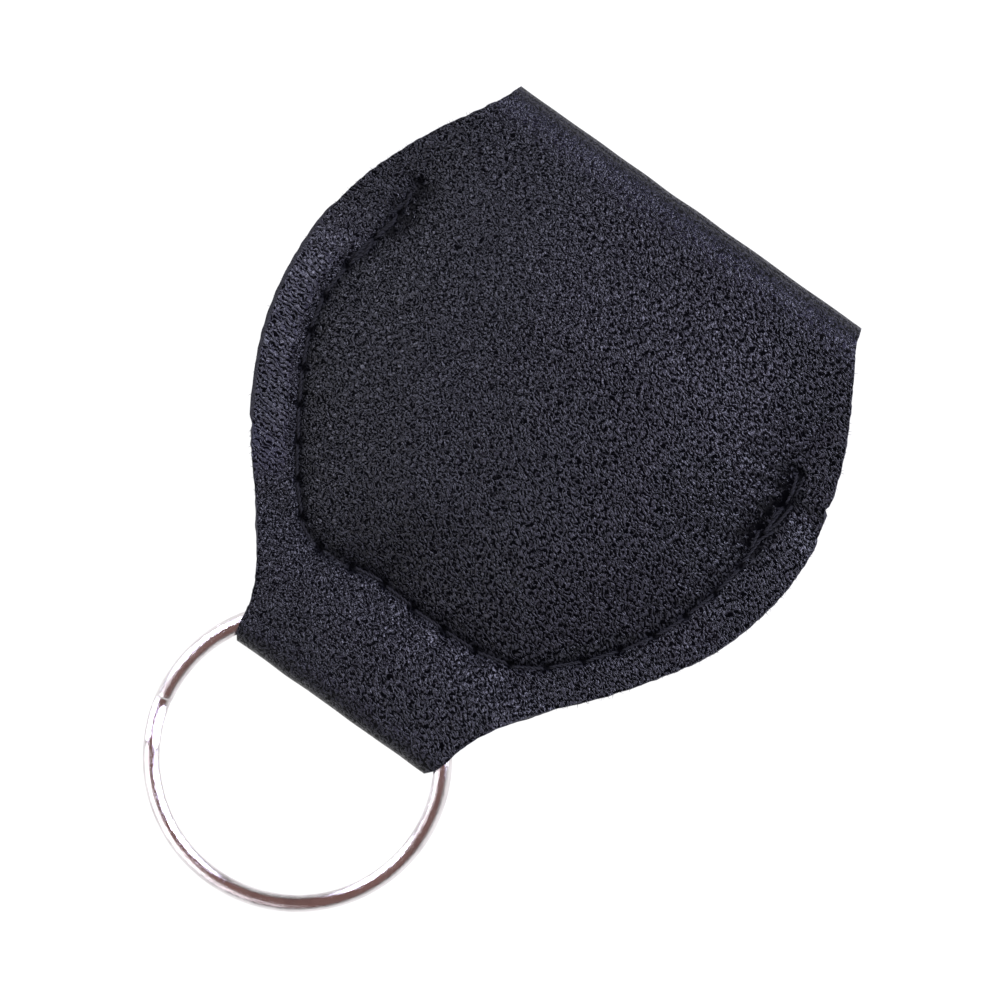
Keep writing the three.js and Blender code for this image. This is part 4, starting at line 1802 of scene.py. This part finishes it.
@dataclass
class Pouch:
    """The leather body: four pieces cut from one skin."""

    dims: Frame
    blank: Blank
    finishes: Finishes
    neck_reach: float = 1.0
    fold_reach: float = 0.7

    def _hinge(self, piece: bpy.types.Object, joint: str,
               reach: float) -> None:
        """Bakes the piece's transform into its mesh; it is not made to bend.

        Args:
            piece: The piece of leather.
            joint: The joint between them.
            reach: Half the length of the bend, in millimetres; negative if it runs down.
        """
        middle = self.dims.joint(joint)
        half = Vector((0.0, reach * MM, 0.0))
        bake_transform(piece)

    def build(self) -> list[bpy.types.Object]:
        """Cuts the pieces and attaches the back to the pouch's body.

        Returns:
            The back, the neck, the front and the flap.
        """
        b = self.blank
        cuts = {
            "back_leather": (0, b.back_end, ["back_panel"], ["flap_leather"]),
            "neck_leather": (b.back_end, b.neck_end, ["neck_loop"], ["split_ring_wire"]),
            "front_leather": (b.neck_end, b.roll_middle, ["front_panel", "top_roll"],
                              ["back_leather"]),
            "flap_leather": (b.roll_middle, len(b.outer) - 1, ["flap"], []),
        }
        made = []
        for name, (first, last, nodes, under) in cuts.items():
            piece = b.cut(name, first, last, self.finishes)
            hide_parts(*nodes)
            width, length, area = b.area(first, last)
            made.append(piece)
        back, neck, front, flap = made
        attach(back, Body.POUCH.value)
        self._hinge(neck, "neck_bend", -self.neck_reach)
        self._hinge(front, "fold_open", self.fold_reach)
        self._hinge(flap, "flap_open", -self.fold_reach)
        return made


@dataclass
class EdgeFuzz:
    """Loose fibres along the cut edges of the two lobes."""

    blank: Blank
    finishes: Finishes
    length: float = 0.42
    radius: float = 0.030
    bend: tuple[float, float] = (0.08, 0.05)
    per_edge: int = 170
    bare_rows: int = 2  # of the back lobe, at the pocket's mouth
    seed: int = 60
    turn: tuple[float, float, float] = (1.4, 1.1, 3.1)

    def _fibre(self) -> bpy.types.Object:
        """One bent fibre, along +X."""
        t = np.linspace(0.0, 1.0, 5)
        aside, high = self.bend[0] * t * t, self.bend[1] * np.sin(t * 3.0)
        line = np.column_stack([t * self.length, aside, high])
        return mesh_object("fibre", [tube(line, self.radius * (1.0 - 0.8 * t), 3)])

    def build(self) -> bpy.types.Object:
        """Lays the fibres along the left and right edges of both lobes.

        Returns:
            The fibres, as one object.
        """
        b = self.blank
        pieces = []
        lobes = ((b.neck_end, b.front_end), (self.bare_rows, b.back_end))
        edges = [(*rows, column) for rows in lobes for column in (0, -1)]
        for number, (first, last, column) in enumerate(edges):
            edge = (b.outer[first:last, column] + b.inner[first:last, column]) / 2.0
            layer = AlongLine(f"fuzz_{number}", self.per_edge, self.seed + number,
                              turn=self.turn, smallest=0.35, largest=1.1)
            pieces.append(layer.lay(b.dims.place(edge), self._fibre(), self.finishes.edge))
        fuzz = join("edge_fibres", pieces)
        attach(fuzz, Body.POUCH.value)
        return fuzz


# ---- The split ring ---------------------------------------------------------------------------


@dataclass
class SplitRing:
    """A two-turn split ring of flattened wire, with the step between its turns."""

    dims: Frame
    finishes: Finishes
    outer_radius: float = 15.0
    band: float = 1.65
    turn_height: float = 1.04
    gap: float = 0.06
    split_angle: float = math.radians(201.4)
    half_step: float = math.radians(10.0)
    closing: float = 0.10  # how far the upper turn lies inside the lower
    end_round: Dent = Dent(-0.10, 0.012)
    steps: int = 620
    sides: int = 32
    squareness: float = 2.12
    roll: float = math.radians(11.0)
    roll_towards: float = math.radians(55.0)

    def _section(self) -> Array:
        """The wire's flattened round section, as (outward, upward).

        Returns:
            Points round the section.
        """
        angle = np.arange(self.sides) * 2.0 * math.pi / self.sides
        circle = np.column_stack([np.cos(angle), np.sin(angle)])
        rounded = np.sign(circle) * np.abs(circle) ** (2.0 / self.squareness)
        return rounded * np.array([self.band, self.turn_height]) / 2.0

    def _wire(self) -> tuple[Array, Faces]:
        """Vertices and faces of the coil, about its own centre.

        Returns:
            The vertices, ring by ring, and the faces.
        """
        start = self.split_angle + self.half_step
        end = self.split_angle + 4.0 * math.pi - self.half_step
        turn = self.split_angle + 2.0 * math.pi
        angles = np.linspace(start, end, self.steps)[:, None]
        raised = smooth_step(angles, turn - self.half_step, turn + self.half_step)
        size = 1.0 + self.end_round.at(angles, start) + self.end_round.at(angles, end)
        outward, upward = self._section().T[:, None, :]
        lean = self.roll * np.cos(angles - self.roll_towards)
        across = outward * np.cos(lean) + upward * np.sin(lean)
        high = upward * np.cos(lean) - outward * np.sin(lean)
        out = self.outer_radius - self.band / 2.0 - self.closing * raised + across * size
        up = (raised - 0.5) * (self.turn_height + self.gap) + high * size
        vertices = np.stack([out * np.cos(angles), out * np.sin(angles), up], axis=2)
        faces = [face[::-1] for face in tube_faces(self.steps, self.sides)]
        return vertices.reshape(-1, 3), faces

    def _unwrap(self, mesh: bpy.types.Mesh) -> None:
        """Gives the wire its UV map, from the order of its vertices.

        Args:
            mesh: The ring's mesh.
        """
        vertex = np.empty(len(mesh.loops), np.int32)
        mesh.loops.foreach_get("vertex_index", vertex)
        row, side = vertex // self.sides, vertex % self.sides
        starts = np.empty(len(mesh.polygons), np.int32)
        mesh.polygons.foreach_get("loop_start", starts)
        first = np.repeat(side[starts], np.diff(np.append(starts, len(vertex))))
        side = np.where((first == self.sides - 1) & (side == 0), self.sides, side)
        uv = np.column_stack([row / self.steps, side / self.sides])
        mesh.uv_layers.new(name=WIRE_UV).data.foreach_set("uv", uv.ravel().astype(np.float32))

    def build(self) -> bpy.types.Object:
        """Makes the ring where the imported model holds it.

        Returns:
            The ring.
        """
        vertices, faces = self._wire()
        joint = next(j for j in frame["joints"] if j["name"] == "ring_spin")
        turn = Vector((0, 0, 1)).rotation_difference(Vector(joint["axis"])).to_matrix()
        placed = vertices * MM @ np.array(turn).T + np.array(joint["pos_m"])
        ring = mesh_object("split_ring_wire", [(placed, faces)], scale=1.0)
        ring.data.materials.append(self.finishes.nickel)
        self._unwrap(ring.data)
        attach(ring, Body.RING.value)
        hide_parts("split_ring")
        return ring


# ---- The studio -------------------------------------------------------------------------------


SKY = (  # height on the sky's dome (-1 below, 1 overhead) and colour, from below upwards
    (-1.0, (1.0, 1.0, 1.0)),
    (0.12, (1.0, 1.0, 1.0)),
    (0.16, (0.66, 0.66, 0.72)),
    (0.22, (0.66, 0.66, 0.72)),
    (0.26, (1.0, 1.0, 1.0)),
    (0.47, (1.0, 1.0, 1.0)),
    (0.53, (0.55, 0.55, 0.60)),
    (0.56, (0.02, 0.02, 0.025)),
    (0.75, (0.006, 0.006, 0.008)),
    (0.77, (0.29, 0.168, 0.156)),
    (0.92, (0.235, 0.138, 0.128)),
    (1.0, (0.20, 0.116, 0.108)),
)


@dataclass(frozen=True)
class Softbox:
    """A square light that faces the holder.

    Attributes:
        name: The light's name.
        bearing: Its bearing in the view, in degrees anticlockwise from the right.
        height: Its height above the horizon, in degrees.
        size: Its side, in metres.
        power: Its power, in watts.
        colour: Its colour.
    """

    name: str
    bearing: float
    height: float
    size: float
    power: float
    colour: tuple[float, float, float]


@dataclass
class Studio:
    """A pale floor, soft lights and a camera straight above."""

    dims: Frame
    distance: float = 0.66
    view_width: float = 96.34
    view_height: float = 4.0  # of the plane that the view's width is measured on
    sensor: float = 36.0
    aim: tuple[float, float] = (1.56, 25.77)
    lean: float = math.radians(54.6)
    floor_reach: float = 3.0
    floor_drop: float = 0.02
    glow: float = 0.95
    light_distance: float = 0.9
    lights: tuple[Softbox, ...] = (
        Softbox("key", 16.0, 42.0, 0.50, 19.5, (0.73, 0.74, 1.0)),
        Softbox("left", 205.0, 52.0, 0.60, 3.2, (0.94, 0.94, 1.0)),
        Softbox("top", 142.0, 44.0, 0.34, 9.0, (0.77, 0.78, 1.0)),
    )

    def _axes(self) -> tuple[Vector, Vector]:
        """The view's right and up, as directions in the frame."""
        right = Vector((math.sin(self.lean), math.cos(self.lean), 0.0))
        return right, Vector((-right.y, right.x, 0.0))

    def camera(self) -> None:
        """A long lens straight above, rolled so that the top fold is to the upper right."""
        right, up = self._axes()
        data = bpy.data.cameras.new("camera")
        data.sensor_width = self.sensor
        data.lens = self.sensor * (self.distance - self.view_height * MM) / (self.view_width * MM)
        camera = bpy.data.objects.new("camera", data)
        bpy.context.scene.collection.objects.link(camera)
        turn = Matrix((right, up, right.cross(up))).transposed()
        target = self.dims.place(np.array([*self.aim, 0.0]))
        camera.matrix_world = (
            Matrix.Translation(Vector(target) + Vector((0, 0, self.distance))) @ turn.to_4x4()
        )
        bpy.context.scene.camera = camera

    def floor(self) -> None:
        """A pale floor that lets some of the light below it through."""
        mesh = bpy.data.meshes.new("floor")
        r = self.floor_reach
        mesh.from_pydata([(-r, -r, 0), (r, -r, 0), (r, r, 0), (-r, r, 0)], [], [(0, 1, 2, 3)])
        floor = make_object("floor", mesh)
        floor.location.z = -self.floor_drop * MM
        s = Shader("pale_floor")
        s.shade(0.5, "ShaderNodeBsdfTransparent", {})
        white = {"Emission Color": rgba(1.0, 1.0, 1.0), "Emission Strength": self.glow}
        matt = {"Base Color": rgba(0.12, 0.12, 0.12), "Roughness": 0.9, "Specular IOR Level": 0.0}
        mesh.materials.append(s.finish({**white, **matt}))

    def sky(self) -> None:
        """A world that is white below and at the horizon, and dim and warm overhead."""
        world = bpy.data.worlds.new("studio")
        bpy.context.scene.world = world
        world.use_nodes = True
        tree = world.node_tree
        tree.nodes.clear()
        place = tree.nodes.new("ShaderNodeTexCoord")
        split = tree.nodes.new("ShaderNodeSeparateXYZ")
        ramp = tree.nodes.new("ShaderNodeValToRGB")
        shade = tree.nodes.new("ShaderNodeMapRange")
        back = tree.nodes.new("ShaderNodeBackground")
        output = tree.nodes.new("ShaderNodeOutputWorld")
        tree.links.new(place.outputs["Generated"], split.inputs[0])
        tree.links.new(split.outputs["Z"], shade.inputs["Value"])
        shade.inputs["From Min"].default_value = -1.0
        tree.links.new(shade.outputs[0], ramp.inputs[0])
        stops = ramp.color_ramp.elements
        for stop, (height, colour) in zip(stops, (SKY[0], SKY[-1])):
            stop.position, stop.color = (height + 1.0) / 2.0, rgba(*colour)
        for height, colour in SKY[1:-1]:
            stops.new((height + 1.0) / 2.0).color = rgba(*colour)
        tree.links.new(ramp.outputs[0], back.inputs["Color"])
        tree.links.new(back.outputs[0], output.inputs["Surface"])

    def softbox(self, box: Softbox) -> None:
        """Hangs one light.

        Args:
            box: The light.
        """
        right, up = self._axes()
        bearing, height = math.radians(box.bearing), math.radians(box.height)
        level = right * math.cos(bearing) + up * math.sin(bearing)
        away = level * math.cos(height) + Vector((0.0, 0.0, math.sin(height)))
        data = bpy.data.lights.new(box.name, "AREA")
        data.shape = "SQUARE"
        data.size = box.size
        data.energy = box.power
        data.color = box.colour
        light = bpy.data.objects.new(box.name, data)
        bpy.context.scene.collection.objects.link(light)
        light.location = away * self.light_distance
        light.rotation_mode = "QUATERNION"
        light.rotation_quaternion = away.to_track_quat("Z", "Y")

    def build(self) -> None:
        """Sets up the whole studio."""
        self.camera()
        self.floor()
        self.sky()
        for box in self.lights:
            self.softbox(box)
        bpy.context.scene.view_settings.view_transform = "Standard"


def main() -> None:
    """Builds the holder piece by piece and reports each one."""
    logging.basicConfig(level=logging.INFO, format="%(name)s: %(message)s")
    dims = Frame()
    Studio(dims).build()
    seam = Seam()
    leather = GrainLeather(stitch=seam.pitch(), seam_length=seam.length())
    finishes = Finishes(leather.material())
    blank = Blank(dims, SkinRelief(seam))
    pieces = [SplitRing(dims, finishes).build()]
    pieces += Pouch(dims, blank, finishes).build()
    pieces += Stitching(dims, seam, finishes).build()
    pieces.append(EdgeFuzz(blank, finishes).build())
    for piece in pieces:
        LOG.info("%s: %d faces", piece.name, len(piece.data.polygons))


if __name__ == "__main__":
    main()
